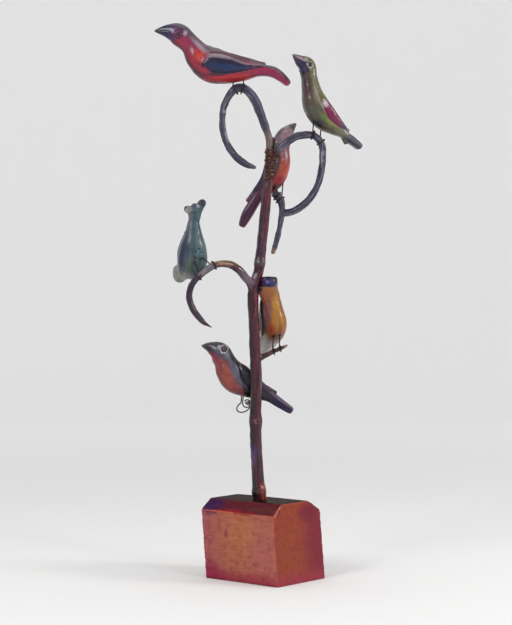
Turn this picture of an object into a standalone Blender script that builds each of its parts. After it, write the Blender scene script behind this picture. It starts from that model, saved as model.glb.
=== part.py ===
"""A folk bird tree: six carved and painted birds wired to a branching twig in a chamfered block.

The model is in metres with +Z up. The origin is the middle of the block's underside, and the
block's long side lies along X. Everything above the block is set out in the tree's own frame,
in millimetres: right, back and up for someone who stands before the tree. That frame is turned
about Z against the block by TREE_TURN, because the block stands cornerwise under its tree.
"""
import math

import bmesh
import bpy
from mathutils import Matrix, Vector

MM = 0.001
TREE_TURN = math.radians(40.0)
GAP = 0.3            # clearance between two pieces that touch
SHARP = math.radians(40.0)   # edges that turn by more than this stay sharp

# The block, a short length of planed timber with its two long top edges cut off
BLOCK_LONG = 98.7
BLOCK_DEEP = 79.5
BLOCK_TALL = 83.1
CHAMFER_FOOT = 72.2  # height at which both chamfers start
CHAMFER_FRONT = 15.4
CHAMFER_BACK = 19.2
BLOCK_LEAN = -0.09   # the ends are sawn out of square, so the block leans along X
SOCKET_DEEP = 30.0   # depth of the hole that holds the trunk
SOCKET_WIDE = 15.4
SOCKET_SIDES = 12

# The trunk: right, back, up and diameter from inside the socket to the whittled tip
TRUNK = [
    (-6.1, 5.0, 70.0, 13.8), (-6.1, 5.0, 84.0, 14.0), (-6.8, 4.8, 92.0, 13.6),
    (-8.6, 4.0, 114.5, 12.6), (-10.3, 2.0, 162.0, 12.2), (-9.8, 0.0, 209.4, 12.0), (-11.0, -1.0, 240.9, 11.8),
    (-12.2, -2.0, 272.4, 11.4), (-12.6, -2.0, 296.5, 11.8), (-9.6, -1.0, 313.3, 11.2),
    (-6.8, 0.0, 324.9, 11.0), (-4.4, 1.0, 345.9, 10.8), (-2.3, 1.0, 366.9, 10.6),
    (-0.1, 1.0, 387.9, 10.2), (1.8, 1.0, 408.9, 9.6), (3.8, 1.0, 424.7, 8.6),
    (5.4, 1.0, 440.4, 7.4), (6.6, 1.0, 453.0, 6.6), (7.8, 1.0, 462.5, 5.0),
]
# Knots: height, how far they swell the trunk, and the height over which they do
TRUNK_KNOTS = [(91.0, 0.9, 5.0), (166.0, 0.9, 5.0), (331.0, 0.8, 4.0)]
TRUNK_SIDES = 10
TRUNK_STEP = 15.0    # height between two rings of the trunk's skin

# The natural fork that carries the teal bird, drooping to a point cut on the slant
LEFT_FORK = [
    (-12.6, -2.0, 291.0, 8.6), (-13.6, -3.0, 303.0, 8.6), (-16.4, -5.0, 311.2, 8.4),
    (-20.3, -8.0, 315.8, 8.4), (-25.5, -13.0, 322.0, 8.2), (-30.7, -17.0, 326.6, 8.0),
    (-36.9, -22.0, 329.6, 7.8), (-45.1, -27.0, 330.4, 7.6), (-53.3, -30.0, 328.6, 7.2),
    (-60.5, -31.0, 324.4, 7.0), (-66.7, -31.0, 319.4, 6.8), (-72.6, -30.0, 314.0, 6.8),
    (-77.2, -28.0, 307.0, 6.8), (-79.2, -26.0, 298.7, 6.8), (-78.0, -25.0, 290.4, 6.6),
    (-74.4, -24.0, 282.1, 6.6), (-68.8, -24.0, 274.2, 6.4), (-63.0, -24.0, 268.8, 4.8),
    (-55.6, -25.0, 264.2, 1.2),
]
RIGHT_STUB = [
    (-8.8, 0.0, 230.4, 7.3), (-3.3, 1.0, 232.9, 6.6), (1.7, 2.0, 235.2, 5.8), (7.0, 3.0, 237.8, 5.2),
    (12.2, 4.0, 239.9, 4.8), (17.5, 5.0, 242.1, 4.2), (23.4, 6.0, 245.1, 2.4),
]
BACK_STUB = [(-10.5, 0.0, 184.0, 5.4), (-16.2, 8.0, 183.6, 5.0), (-18.9, 16.0, 183.2, 4.4),
             (-20.5, 27.0, 183.0, 4.0)]
LIMB_SIDES = 8
LIMB_STEP = 8.0      # the same for a fork, a stub and the cross twig

# Two bent twigs are bound to the trunk's tip, and each curls back in a loop
TOP_LOOP = [
    (2.2, -6.2, 419.1, 2.6), (2.8, -6.6, 427.0, 4.6), (3.2, -6.8, 434.7, 5.2), (3.6, -7.0, 450.3, 6.0),
    (3.3, -8.0, 461.8, 8.2), (-3.1, -10.0, 480.6, 9.6), (-6.8, -12.0, 490.4, 10.0),
    (-10.0, -14.0, 498.6, 10.0), (-14.4, -15.5, 505.4, 10.0), (-20.4, -16.5, 510.8, 10.0),
    (-27.0, -17.0, 513.2, 9.8), (-33.4, -18.0, 510.0, 9.0), (-39.3, -19.0, 502.6, 8.0),
    (-44.0, -20.0, 490.2, 7.4), (-44.8, -20.0, 475.9, 7.3), (-42.8, -19.0, 462.3, 7.4),
    (-37.4, -18.0, 450.5, 7.6), (-31.6, -17.0, 442.7, 7.8), (-24.0, -16.0, 436.5, 7.8),
    (-17.6, -15.0, 432.9, 6.6), (-10.4, -14.0, 430.8, 3.0),
]
RIGHT_LOOP = [
    (8.2, -5.2, 427.4, 2.4), (9.0, -5.6, 440.0, 4.8), (11.4, -6.6, 447.4, 5.8),
    (16.0, -7.0, 452.2, 7.2), (23.0, -7.0, 457.8, 8.0), (32.6, -7.0, 463.6, 8.0),
    (45.3, -6.0, 465.6, 7.8), (52.8, -5.0, 463.6, 7.6), (57.8, -4.0, 458.0, 7.8),
    (60.0, -3.0, 450.6, 7.6), (59.9, -1.0, 440.3, 7.6), (58.8, 1.0, 429.3, 7.4),
    (56.4, 3.0, 418.0, 7.4), (51.4, 6.0, 406.5, 7.6), (44.4, 9.0, 397.0, 7.8),
    (36.0, 11.0, 389.8, 7.8), (28.3, 12.0, 386.0, 7.8), (18.6, 13.0, 384.2, 7.4),
]
TEE_TWIG = [
    (9.4, 14.0, 405.6, 7.6), (12.6, 14.0, 402.4, 9.0), (16.6, 13.5, 396.4, 8.2), (17.6, 13.0, 386.5, 6.4),
    (15.9, 13.0, 373.7, 6.2), (13.8, 12.0, 363.4, 6.0), (11.1, 11.0, 353.2, 5.8), (8.0, 10.0, 341.9, 4.6),
]

LOOP_SIDES = 10
LOOP_STEP = 12.0     # the same for the two loops
LOOP_FLUTES = 0.06   # depth of the top loop's ridges, as a share of its radius

# The binding of wire around the trunk's tip and the two butts
BINDING_FOOT = 419.0
BINDING_TOP = 448.5
BINDING_TURNS = 10
BINDING_WIRE = 1.5
BINDING_SIDES = 12
BINDING_SLACK = 0.5  # how loosely the wire lies round the three members
BINDING_GROOVE = 0.55   # wall between two turns, as a share of the wire
BOUND_TRUNK = TRUNK[11:]
BOUND_TOP = TOP_LOOP[:6]
BOUND_RIGHT = RIGHT_LOOP[:5]
BUTT_TAPER = 0.4     # how fast the binding closes in below a butt

# Wire legs
LEG_WIRE = 1.5
LEG_SIDES = 6
LEG_BEND = 36.0      # degrees of a wrap between two rings of its skin
LEG_SLACK = 0.5      # how loosely a leg holds its branch
LEG_PITCH = 1.5      # distance between two turns, in wire diameters
LEG_STEP = 3.5
HOLE_EXTRA = 0.4     # clearance around a leg in its hole

# A bird's body: forward, up, depth and width of each cross-section from bill to tail, measured
# from the place between its feet. The wing's rows hold forward, up and its depth.
BIRDS = {
    "bird_red_and_black": {
        "place": (-28.6, -17.5, 518.9), "heading": 180.0, "roll": 0.0, "cock": 0.0, "swing": 0.0,
        "body": [(86.0, 53.2, 2.6, 2.4), (73.0, 53.0, 14.4, 10.4), (61.9, 49.6, 23.0, 18.0),
                 (49.5, 38.9, 21.6, 18.6), (40.4, 27.2, 30.2, 23.6), (27.6, 18.2, 37.0, 29.6),
                 (11.4, 14.6, 32.6, 30.6), (-7.3, 13.2, 23.4, 25.0), (-23.9, 12.5, 12.4, 15.6),
                 (-38.5, 9.8, 11.4, 13.8), (-51.0, -0.2, 7.6, 12.6)],
        "wing": [(33.0, 18.2, 7.0), (26.0, 18.4, 17.0), (10.4, 18.8, 18.6), (-4.9, 17.8, 12.5),
                 (-19.8, 18.2, 6.0), (-29.0, 18.4, 2.6)],
        "eye": (61.4, 48.4, 7.0), "neck": 38.0, "lobe": (),
        "legs": [((-31.5, -24.2, 528.0), (-31.0, -18.0, 511.0), 1, 235.0),
                 ((-24.5, -11.0, 528.0), (-24.5, -17.0, 512.5), -1, 235.0)],
        "branch": TOP_LOOP, "colour": (0.42, 0.03, 0.02),
    },
    "bird_green": {
        "place": (53.5, -5.0, 473.0), "heading": 200.0, "roll": 0.0, "cock": 0.0, "swing": 0.0,
        "body": [(26.2, 74.6, 3.0, 2.6), (19.5, 69.6, 11.4, 10.5), (11.4, 63.8, 18.3, 17.4),
                 (8.4, 51.8, 16.8, 16.8), (5.8, 38.2, 20.6, 20.4), (1.0, 23.8, 27.2, 26.2),
                 (-8.4, 10.6, 26.4, 26.2), (-20.1, 1.2, 17.4, 20.0), (-31.2, -6.4, 8.6, 13.0),
                 (-39.0, -12.0, 8.6, 12.6), (-47.4, -18.0, 7.4, 12.6)],
        "wing": [(-4.4, 27.5, 5.0), (-7.4, 20.5, 10.5), (-13.2, 12.6, 11.5), (-21.6, 5.4, 8.4),
                 (-28.6, 0.8, 5.0), (-35.6, -2.6, 2.4)],
        "eye": (9.4, 63.4, 6.6), "neck": 50.0, "lobe": ((-30.0, -6.5, 7.0), (-32.2, -12.0, 6.0),
                                                        (-33.4, -16.4, 3.6)),
        "legs": [((50.3, -11.6, 482.0), (50.0, -7.0, 466.0), 1, 400.0),
                 ((58.6, 1.2, 479.0), (58.2, -4.0, 458.4), -1, 400.0)],
        "branch": RIGHT_LOOP, "colour": (0.13, 0.14, 0.05),
    },
    "bird_rose": {
        "place": (17.9, 23.0, 413.6), "heading": 0.0, "roll": 0.0, "cock": 0.0, "swing": 0.0,
        "body": [(14.3, 65.8, 3.0, 2.6), (8.3, 60.2, 11.1, 10.6), (2.7, 53.1, 17.5, 17.4),
                 (-1.6, 43.5, 20.0, 18.6), (-3.9, 34.0, 24.5, 23.0), (-5.0, 23.4, 27.1, 27.0),
                 (-8.4, 11.7, 26.5, 27.0), (-15.8, 0.0, 20.4, 21.2), (-25.5, -11.7, 11.7, 14.9),
                 (-33.4, -23.4, 10.1, 13.8), (-42.6, -41.2, 5.6, 11.0)],
        "wing": [(-6.6, 43.0, 5.0), (-8.6, 34.0, 12.0), (-11.6, 20.0, 14.0), (-18.6, 6.0, 10.5),
                 (-27.4, -6.6, 6.0), (-36.2, -17.6, 2.6)],
        "eye": (3.4, 54.0, 6.4), "neck": 43.5, "lobe": (),
        "legs": [((19.4, 18.4, 424.0), (17.2, 13.5, 400.0), -1, 330.0),
                 ((13.6, 26.0, 424.0), (12.4, 14.0, 403.0), -1, 330.0)],
        "branch": TEE_TWIG, "colour": (0.36, 0.07, 0.06),
    },
    "bird_teal": {
        "place": (-75.6, -11.0, 322.0), "heading": -80.0, "roll": 0.0, "cock": 21.0, "swing": -9.0,
        "body": [(19.0, 71.5, 3.0, 2.6), (12.6, 69.4, 10.6, 10.4), (5.0, 65.6, 17.0, 16.0),
                 (2.6, 53.5, 13.2, 12.4), (2.0, 41.0, 18.4, 17.6), (0.6, 27.0, 26.0, 26.6),
                 (-4.2, 12.6, 27.6, 30.4), (-13.0, 3.4, 22.6, 26.6), (-24.0, 0.4, 13.0, 17.0),
                 (-33.0, -1.4, 10.4, 15.0), (-42.0, -4.4, 9.0, 14.4)],
        "wing": [(-3.6, 42.0, 5.0), (-6.6, 32.0, 12.0), (-11.6, 18.0, 15.0), (-20.0, 7.6, 11.0),
                 (-28.6, 0.6, 6.0), (-36.0, -3.6, 2.6)],
        "eye": (4.6, 66.0, 6.6), "neck": 50.0, "lobe": (),
        "legs": [((-77.6, -18.0, 343.0), (-69.0, -31.0, 317.4), 1, 330.0),
                 ((-70.0, -17.0, 340.0), (-54.0, -30.0, 329.0), 1, 330.0)],
        "branch": LEFT_FORK, "colour": (0.05, 0.10, 0.11),
    },
    "bird_yellow": {
        "place": (15.2, 16.0, 244.5), "heading": -62.0, "roll": 14.0, "cock": 12.0, "swing": -7.0,
        "body": [(19.0, 72.0, 3.0, 2.6), (12.6, 69.4, 11.0, 10.6), (5.4, 65.4, 18.0, 17.8),
                 (3.4, 53.6, 18.4, 18.6), (2.4, 39.0, 22.0, 21.0), (0.8, 25.0, 26.0, 24.6),
                 (-6.0, 12.6, 25.6, 24.6), (-16.0, 4.0, 18.6, 19.4), (-26.0, -2.0, 11.0, 13.6),
                 (-34.0, -7.0, 9.0, 13.0), (-42.0, -12.6, 7.4, 12.6)],
        "wing": [(-1.4, 46.0, 5.0), (-4.4, 37.0, 12.0), (-8.6, 24.0, 13.0), (-14.6, 13.6, 9.0),
                 (-21.6, 6.0, 5.0), (-27.6, 0.6, 2.6)],
        "eye": (5.0, 65.6, 6.6), "neck": 50.0, "lobe": (),
        "legs": [((8.4, 8.4, 256.0), (8.0, 3.2, 238.2), 1, 400.0),
                 ((15.4, 10.0, 256.0), (15.2, 4.5, 241.2), 1, 400.0)],
        "branch": RIGHT_STUB, "colour": (0.40, 0.17, 0.02),
    },
    "bird_robin": {
        "place": (-23.7, 24.0, 190.1), "heading": 180.0, "roll": 0.0, "cock": 0.0, "swing": 0.0,
        "body": [(43.1, 53.7, 3.4, 3.0), (34.6, 51.9, 12.8, 11.7), (25.2, 46.8, 22.3, 19.1),
                 (19.7, 37.7, 23.4, 20.2), (14.9, 28.2, 29.4, 25.5), (7.4, 19.0, 32.2, 29.4),
                 (-4.3, 12.8, 28.2, 27.6), (-16.5, 6.4, 20.8, 21.3), (-28.2, 0.2, 12.8, 15.4),
                 (-37.7, -6.4, 10.8, 14.9), (-50.0, -14.4, 8.4, 14.0)],
        "wing": [(9.6, 33.0, 6.0), (4.4, 26.0, 14.0), (-4.6, 18.4, 16.0), (-16.0, 11.6, 11.0),
                 (-26.6, 6.6, 6.0), (-36.0, 1.8, 2.6)],
        "eye": (20.6, 50.4, 7.0), "neck": 38.0, "lobe": (),
        "legs": [[(-25.4, 19.0, 200.0), (-25.4, 19.0, 187.4), (-26.2, 18.8, 183.4), (-29.6, 18.6, 179.6),
                  (-30.0, 18.4, 175.6), (-26.4, 18.2, 173.4), (-21.0, 18.2, 174.4), (-17.2, 18.4, 177.6),
                  (-15.4, 18.6, 182.4), (-16.8, 18.8, 185.8), (-19.6, 19.0, 186.6), (-22.0, 19.2, 185.4)],
                 [(-22.2, 24.0, 200.0), (-23.8, 24.0, 187.0), (-24.2, 23.8, 183.0), (-23.0, 23.6, 179.6),
                  (-20.0, 23.4, 178.2), (-16.8, 23.4, 179.6), (-16.2, 23.6, 183.0), (-17.8, 23.8, 185.8),
                  (-20.2, 24.0, 186.4)]],
        "branch": BACK_STUB, "colour": (0.40, 0.06, 0.02),
    },
}
ROUND = 2.2          # how square a body's cross-section is, 2 being an ellipse
FLAT = 3.2           # the same for the flat tail
TAIL_FROM = 8        # the first cross-section of the tail
BODY_SIDES = 12
BILL_TIP = 1.6       # how far the bill's point is ahead of its first cross-section
WING_SIDES = 8
WING_STEP = 9.0
WING_THICK = 6.0
WING_EDGE = 1.6      # a narrow wing is this thick and WING_SLOPE of its depth more
WING_SLOPE = 0.4
WING_PROUD = 1.7     # how far a wing stands out of the flank
WING_NEAREST = 2.2   # how close to the middle plane a wing may come
EYE_PROUD = 1.5      # how far an eye stands out of the head
EYE_SUNK = 1.0
EYE_SIDES = 8
EYE_RINGS = 4

PAINT = {
    "block": (0.20, 0.045, 0.02),
    "trunk": (0.09, 0.02, 0.018),
    "twig": (0.035, 0.03, 0.045),
    "binding": (0.20, 0.07, 0.02),
    "wire": (0.03, 0.03, 0.035),
}


def clear_scene():
    """Take every object out of the file."""
    for old in list(bpy.data.objects):
        bpy.data.objects.remove(old, do_unlink=True)


def material(name, colour, roughness, metallic=0.0):
    """A plain surface of one colour."""
    made = bpy.data.materials.new(name)
    made.use_nodes = True
    surface = made.node_tree.nodes["Principled BSDF"]
    surface.inputs["Base Color"].default_value = (*colour, 1.0)
    surface.inputs["Roughness"].default_value = roughness
    surface.inputs["Metallic"].default_value = metallic
    return made


def tree_matrix():
    """From the tree's frame in millimetres to the model's frame in metres."""
    return Matrix.Rotation(TREE_TURN, 4, "Z") @ Matrix.Scale(MM, 4)


def bird_matrix(bird):
    """From a bird's own forward, left and up to the tree's frame, both in millimetres."""
    turn = Matrix.Rotation(math.radians(bird["heading"]), 4, "Z")
    roll = Matrix.Rotation(math.radians(bird["roll"]), 4, "X")
    return Matrix.Translation(bird["place"]) @ turn @ roll


def blend_rows(a, b, c, d, t):
    """The row at t between b and c, on a smooth curve that also knows the rows a and d."""
    row = []
    for p, q, r, s in zip(a, b, c, d):
        bend = (2 * p - 5 * q + 4 * r - s) * t * t + (3 * q - p - 3 * r + s) * t ** 3
        row.append(0.5 * (2 * q + (r - p) * t + bend))
    return row


def smooth(rows, step):
    """Rows about one step apart on a smooth curve through all the given rows."""
    out = []
    last = len(rows) - 1
    for i in range(last):
        a, b, c, d = rows[max(i - 1, 0)], rows[i], rows[i + 1], rows[min(i + 2, last)]
        parts = max(1, round(math.dist(b[:3], c[:3]) / step))
        out += [blend_rows(a, b, c, d, k / parts) for k in range(parts)]
    out.append(list(rows[-1]))
    return out


def loft(name, rings, start=None, end=None):
    """A closed skin over rings of points, each end closed flat or drawn to one point."""
    bm = bmesh.new()
    loops = [[bm.verts.new(p) for p in ring] for ring in rings]
    count = len(rings[0])
    for low, high in zip(loops, loops[1:]):
        for k in range(count):
            n = (k + 1) % count
            bm.faces.new((low[k], low[n], high[n], high[k]))
    for loop, tip in ((loops[0], start), (loops[-1], end)):
        if tip is None:
            bm.faces.new(loop)
            continue
        point = bm.verts.new(tip)
        for k in range(count):
            bm.faces.new((loop[k], loop[(k + 1) % count], point))
    bmesh.ops.recalc_face_normals(bm, faces=bm.faces)
    mesh = bpy.data.meshes.new(name)
    bm.to_mesh(mesh)
    bm.free()
    return mesh


def shape(name, mesh):
    """An object for a mesh."""
    obj = bpy.data.objects.new(name, mesh)
    bpy.context.scene.collection.objects.link(obj)
    return obj


def finished(obj, finish):
    """Give a piece its one material, and shade it smooth except at its sharp edges."""
    mesh = obj.data
    mesh.materials.clear()
    mesh.materials.append(finish)
    for face in mesh.polygons:
        face.material_index = 0
    mesh.shade_smooth()
    mesh.set_sharp_from_angle(angle=SHARP)
    return obj


def combine(target, tools, operation):
    """Join the tools to the target, or cut them out of it, and take the tools away."""
    for tool in tools:
        step = target.modifiers.new(operation, "BOOLEAN")
        step.operation = operation
        step.solver = "EXACT"
        step.object = tool
        bpy.context.view_layer.update()
        graph = bpy.context.evaluated_depsgraph_get()
        mesh = bpy.data.meshes.new_from_object(target.evaluated_get(graph))
        target.modifiers.clear()
        target.data = mesh
        bpy.data.objects.remove(tool, do_unlink=True)


def to_world(obj):
    """Take a piece that was drawn in the tree's frame to the model's frame."""
    obj.data.transform(tree_matrix())


def tube(name, rows, sides, knots=(), flutes=0.0, tips=(0.5, 0.5)):
    """A twig's skin along right, back, up and diameter, its ends rounded by tips of the radius."""
    centres = [Vector(row[:3]) for row in rows]
    rings = []
    across = None
    for i, (centre, row) in enumerate(zip(centres, rows)):
        ahead = (centres[min(i + 1, len(rows) - 1)] - centres[max(i - 1, 0)]).normalized()
        seed = across if across else Vector((0.3, 1.0, 0.2))
        across = (seed - ahead * seed.dot(ahead)).normalized()
        side = ahead.cross(across)
        radius = row[3] / 2 + sum(k[1] * math.exp(-((centre.z - k[0]) / k[2]) ** 2) for k in knots)
        ring = []
        for k in range(sides):
            angle = 2 * math.pi * k / sides
            reach = radius * (1 - flutes * (0.5 - 0.5 * math.cos(angle * sides / 2)))
            ring.append(centre + across * reach * math.cos(angle) + side * reach * math.sin(angle))
        rings.append(ring)
    first = centres[0] + (centres[0] - centres[1]).normalized() * rows[0][3] / 2 * tips[0]
    last = centres[-1] + (centres[-1] - centres[-2]).normalized() * rows[-1][3] / 2 * tips[1]
    return loft(name, rings, first, last)


def section(deep, wide, square, sides):
    """Points of one cross-section as (left, up), rounder or squarer than an ellipse."""
    out = []
    for k in range(sides):
        c = math.cos(2 * math.pi * (k + 0.5) / sides)
        s = math.sin(2 * math.pi * (k + 0.5) / sides)
        left = math.copysign(abs(c) ** (2 / square), c) * wide / 2
        rise = math.copysign(abs(s) ** (2 / square), s) * deep / 2
        out.append((left, rise))
    return out


def body_rows(bird):
    """The bird's cross-sections, closer together than they are listed, each with its squareness."""
    stations = [(f, u, deep, wide, FLAT if i >= TAIL_FROM else ROUND)
                for i, (f, u, deep, wide) in enumerate(bird["body"])]
    out = []
    for i in range(len(stations) - 1):
        group = [stations[max(i - 1, 0)], stations[i], stations[i + 1],
                 stations[min(i + 2, len(stations) - 1)]]
        parts = 1 if i == 0 or i >= TAIL_FROM else 2
        out += [blend_rows(*group, k / parts) for k in range(parts)]
    out.append(stations[-1])
    return out


def heading_at(rows, i):
    """The direction in the bird's middle plane in which row i runs, as (forward, up)."""
    a, b = rows[max(i - 1, 0)], rows[min(i + 1, len(rows) - 1)]
    return Vector((b[0] - a[0], b[1] - a[1])).normalized()


def flank(rows, forward, up):
    """How far the body's skin is from the middle plane beside a point of that plane."""
    best = None
    for i, row in enumerate(rows):
        ahead = heading_at(rows, i)
        offset = Vector((forward - row[0], up - row[1]))
        along = abs(offset.dot(ahead))
        if best is None or along < best[0]:
            drop = abs(offset.x * ahead.y - offset.y * ahead.x) / (row[2] / 2)
            if drop < 1.3:
                best = (along, row[3] / 2 * max(0.05, 1 - min(drop, 0.98) ** row[4]) ** (1 / row[4]))
    return best[1]


def posed(bird, point):
    """Tip the head to one side above the neck, and swing the tail to one side."""
    forward, left, up = point
    top = bird["eye"][1]
    share = min(max((up - bird["neck"]) / (top - bird["neck"]), 0.0), 1.0)
    turn = math.radians(bird["cock"]) * share * share * (3 - 2 * share)
    rise = up - top
    aside = bird["swing"] * (max(0.0, -forward) / -bird["body"][-1][0]) ** 2
    return Vector((forward, aside + left * math.cos(turn) - rise * math.sin(turn),
                   top + left * math.sin(turn) + rise * math.cos(turn)))


def body_mesh(bird, name):
    """Bill, head, body and tail as one skin."""
    rows = body_rows(bird)
    rings = []
    for i, (forward, up, deep, wide, square) in enumerate(rows):
        ahead = heading_at(rows, i)
        ring = []
        for left, rise in section(deep, wide, square, BODY_SIDES):
            point = Vector((forward + ahead.y * rise, left, up - ahead.x * rise))
            ring.append(posed(bird, point))
        rings.append(ring)
    nose = heading_at(rows, 0)
    tip = posed(bird, (rows[0][0] - nose.x * BILL_TIP, 0.0, rows[0][1] - nose.y * BILL_TIP))
    return loft(name, rings, tip, None)


def wing_mesh(bird, name, side):
    """One folded wing, a leaf that stands a little proud of the flank and ends in a free tip."""
    body = body_rows(bird)
    rows = smooth([(f, u, 0.0, chord) for f, u, chord in bird["wing"]], WING_STEP)
    rings = []
    for i, (forward, up, _, chord) in enumerate(rows):
        ahead = heading_at(rows, i)
        thick = min(WING_THICK, WING_EDGE + WING_SLOPE * chord)
        out = max(flank(body, forward, up) - thick / 2 + WING_PROUD, WING_NEAREST)
        ring = []
        for left, rise in section(chord, thick, ROUND, WING_SIDES):
            point = (forward + ahead.y * rise, side * (out + left), up - ahead.x * rise)
            ring.append(posed(bird, point))
        rings.append(ring)
    return loft(name, rings, None, None)


def eye_mesh(bird, name, side):
    """A low dome on the side of the head."""
    forward, up, wide = bird["eye"]
    out = flank(body_rows(bird), forward, up)
    bm = bmesh.new()
    bmesh.ops.create_uvsphere(bm, u_segments=EYE_SIDES, v_segments=EYE_RINGS, radius=wide / 2)
    squash = 2 * (EYE_PROUD + EYE_SUNK) / wide
    for vert in bm.verts:
        point = (forward + vert.co.x, side * (out - EYE_SUNK + vert.co.z * squash), up + vert.co.y)
        vert.co = posed(bird, point)
    bmesh.ops.recalc_face_normals(bm, faces=bm.faces)
    mesh = bpy.data.meshes.new(name)
    bm.to_mesh(mesh)
    bm.free()
    return mesh


def lobe_mesh(bird, name):
    """The small lobe under the tail's root."""
    rows = [(f, u, thick) for f, u, thick in bird["lobe"]]
    rings = []
    for i, (forward, up, deep) in enumerate(rows):
        ahead = heading_at(rows, i)
        rings.append([Vector((forward + ahead.y * rise, left, up - ahead.x * rise))
                      for left, rise in section(deep, deep * 1.3, ROUND, WING_SIDES)])
    return loft(name, rings)


def grip(branch, near):
    """Centre, direction and radius of a branch where it passes closest to a point."""
    rows = smooth(branch, 2.0)
    i = min(range(1, len(rows) - 1), key=lambda k: math.dist(rows[k][:3], near))
    centre = Vector(rows[i][:3])
    axis = (Vector(rows[i + 1][:3]) - Vector(rows[i - 1][:3])).normalized()
    return centre, axis, rows[i][3] / 2


def leg_path(bird, leg):
    """The leg's wire: straight down out of its hole, then round the branch that it holds.

    The second value is the point down to which the wire runs straight.
    """
    if isinstance(leg, list):
        return [Vector(row) for row in leg[:1] + smooth(leg[1:], LEG_STEP)], Vector(leg[1])
    socket, near, hand, sweep = leg
    centre, axis, radius = grip(bird["branch"], near)
    reach = radius + LEG_WIRE / 2 + GAP + LEG_SLACK
    toward = Vector(socket) - centre
    toward -= axis * toward.dot(axis)
    first = toward.normalized()
    second = axis.cross(first)
    start = hand * math.acos(min(0.99, reach / toward.length))
    points = [Vector(socket)]
    count = round(sweep / LEG_BEND)
    for k in range(count + 1):
        angle = start + hand * math.radians(sweep) * k / count
        shift = axis * LEG_WIRE * LEG_PITCH * hand * sweep / 360.0 * (k / count - 0.5)
        points.append(centre + (first * math.cos(angle) + second * math.sin(angle)) * reach + shift)
    return points, points[1]


def wire_mesh(name, points, thick):
    """A round wire along a row of points."""
    return tube(name, [(*p, thick) for p in points], LEG_SIDES, tips=(0.3, 0.3))


def make_block(finish):
    """The chamfered block, with the hole that takes the trunk's foot."""
    half = BLOCK_DEEP / 2
    socket = [(*TRUNK[0][:2], up, SOCKET_WIDE) for up in (BLOCK_TALL - SOCKET_DEEP, BLOCK_TALL + 4.0)]
    outline = [(-half, 0.0), (half, 0.0), (half, CHAMFER_FOOT), (half - CHAMFER_BACK, BLOCK_TALL),
               (CHAMFER_FRONT - half, BLOCK_TALL), (-half, CHAMFER_FOOT)]
    rings = []
    for end in (-BLOCK_LONG / 2, BLOCK_LONG / 2):
        rings.append([Vector((end + BLOCK_LEAN * up, y, up)) * MM for y, up in outline])
    block = shape("block", loft("block", rings))
    hole = shape("hole", tube("hole", socket, SOCKET_SIDES, tips=(0.0, 0.0)))
    to_world(hole)
    combine(block, [hole], "DIFFERENCE")
    return finished(block, finish)


def make_trunk(finish):
    """The trunk with its fork and two stubs, one natural branch."""
    foot = (*TRUNK[0][:2], BLOCK_TALL - SOCKET_DEEP + GAP, TRUNK[0][3])
    skin = tube("trunk", smooth([foot] + TRUNK, TRUNK_STEP), TRUNK_SIDES, TRUNK_KNOTS, tips=(0.0, 0.4))
    trunk = shape("tree_trunk", skin)
    limbs = [shape("limb", tube("limb", smooth(rows, LIMB_STEP), LIMB_SIDES))
             for rows in (LEFT_FORK, RIGHT_STUB, BACK_STUB)]
    combine(trunk, limbs, "UNION")
    to_world(trunk)
    return finished(trunk, finish)


def make_loops(finish):
    """The two bent twigs, the right one ending in a short cross twig."""
    skin = tube("top_loop", smooth(TOP_LOOP, LOOP_STEP), LOOP_SIDES, flutes=LOOP_FLUTES)
    top = shape("top_loop_branch", skin)
    right = shape("right_loop_branch", tube("right_loop", smooth(RIGHT_LOOP, LOOP_STEP), LIMB_SIDES))
    tee = shape("tee", tube("tee", smooth(TEE_TWIG, LIMB_STEP), LIMB_SIDES))
    combine(right, [tee], "UNION")
    for twig in (top, right):
        to_world(twig)
        finished(twig, finish)


def member_at(rows, up):
    """Centre and radius of a bound member at one height, thinning away below its butt."""
    low = rows[0]
    if up < low[2]:
        return Vector(low[:2]), max(0.2, low[3] / 2 - (low[2] - up) * BUTT_TAPER)
    for a, b in zip(rows, rows[1:]):
        if a[2] <= up <= b[2]:
            t = (up - a[2]) / (b[2] - a[2])
            centre = Vector(a[:2]).lerp(Vector(b[:2]), t)
            return centre, (a[3] + (b[3] - a[3]) * t) / 2
    return Vector(rows[-1][:2]), rows[-1][3] / 2


def binding_ring(up, extra):
    """A tight outline around the three bound members at one height, held off by extra."""
    members = [member_at(smooth(rows, 2.0), up + shift) for shift in (-2.0, 0.0, 2.0)
               for rows in (BOUND_TRUNK, BOUND_TOP, BOUND_RIGHT)]
    turn = 2 * math.pi / BINDING_SIDES
    walls = []
    for k in range(BINDING_SIDES):
        out = Vector((math.cos(k * turn), math.sin(k * turn)))
        walls.append((out, max(centre.dot(out) + radius for centre, radius in members) + extra))
    ring = []
    for (n, a), (m, b) in zip(walls, walls[1:] + walls[:1]):
        cross = n.x * m.y - n.y * m.x
        ring.append(Vector(((a * m.y - b * n.y) / cross, (b * n.x - a * m.x) / cross, up)))
    return ring


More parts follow.
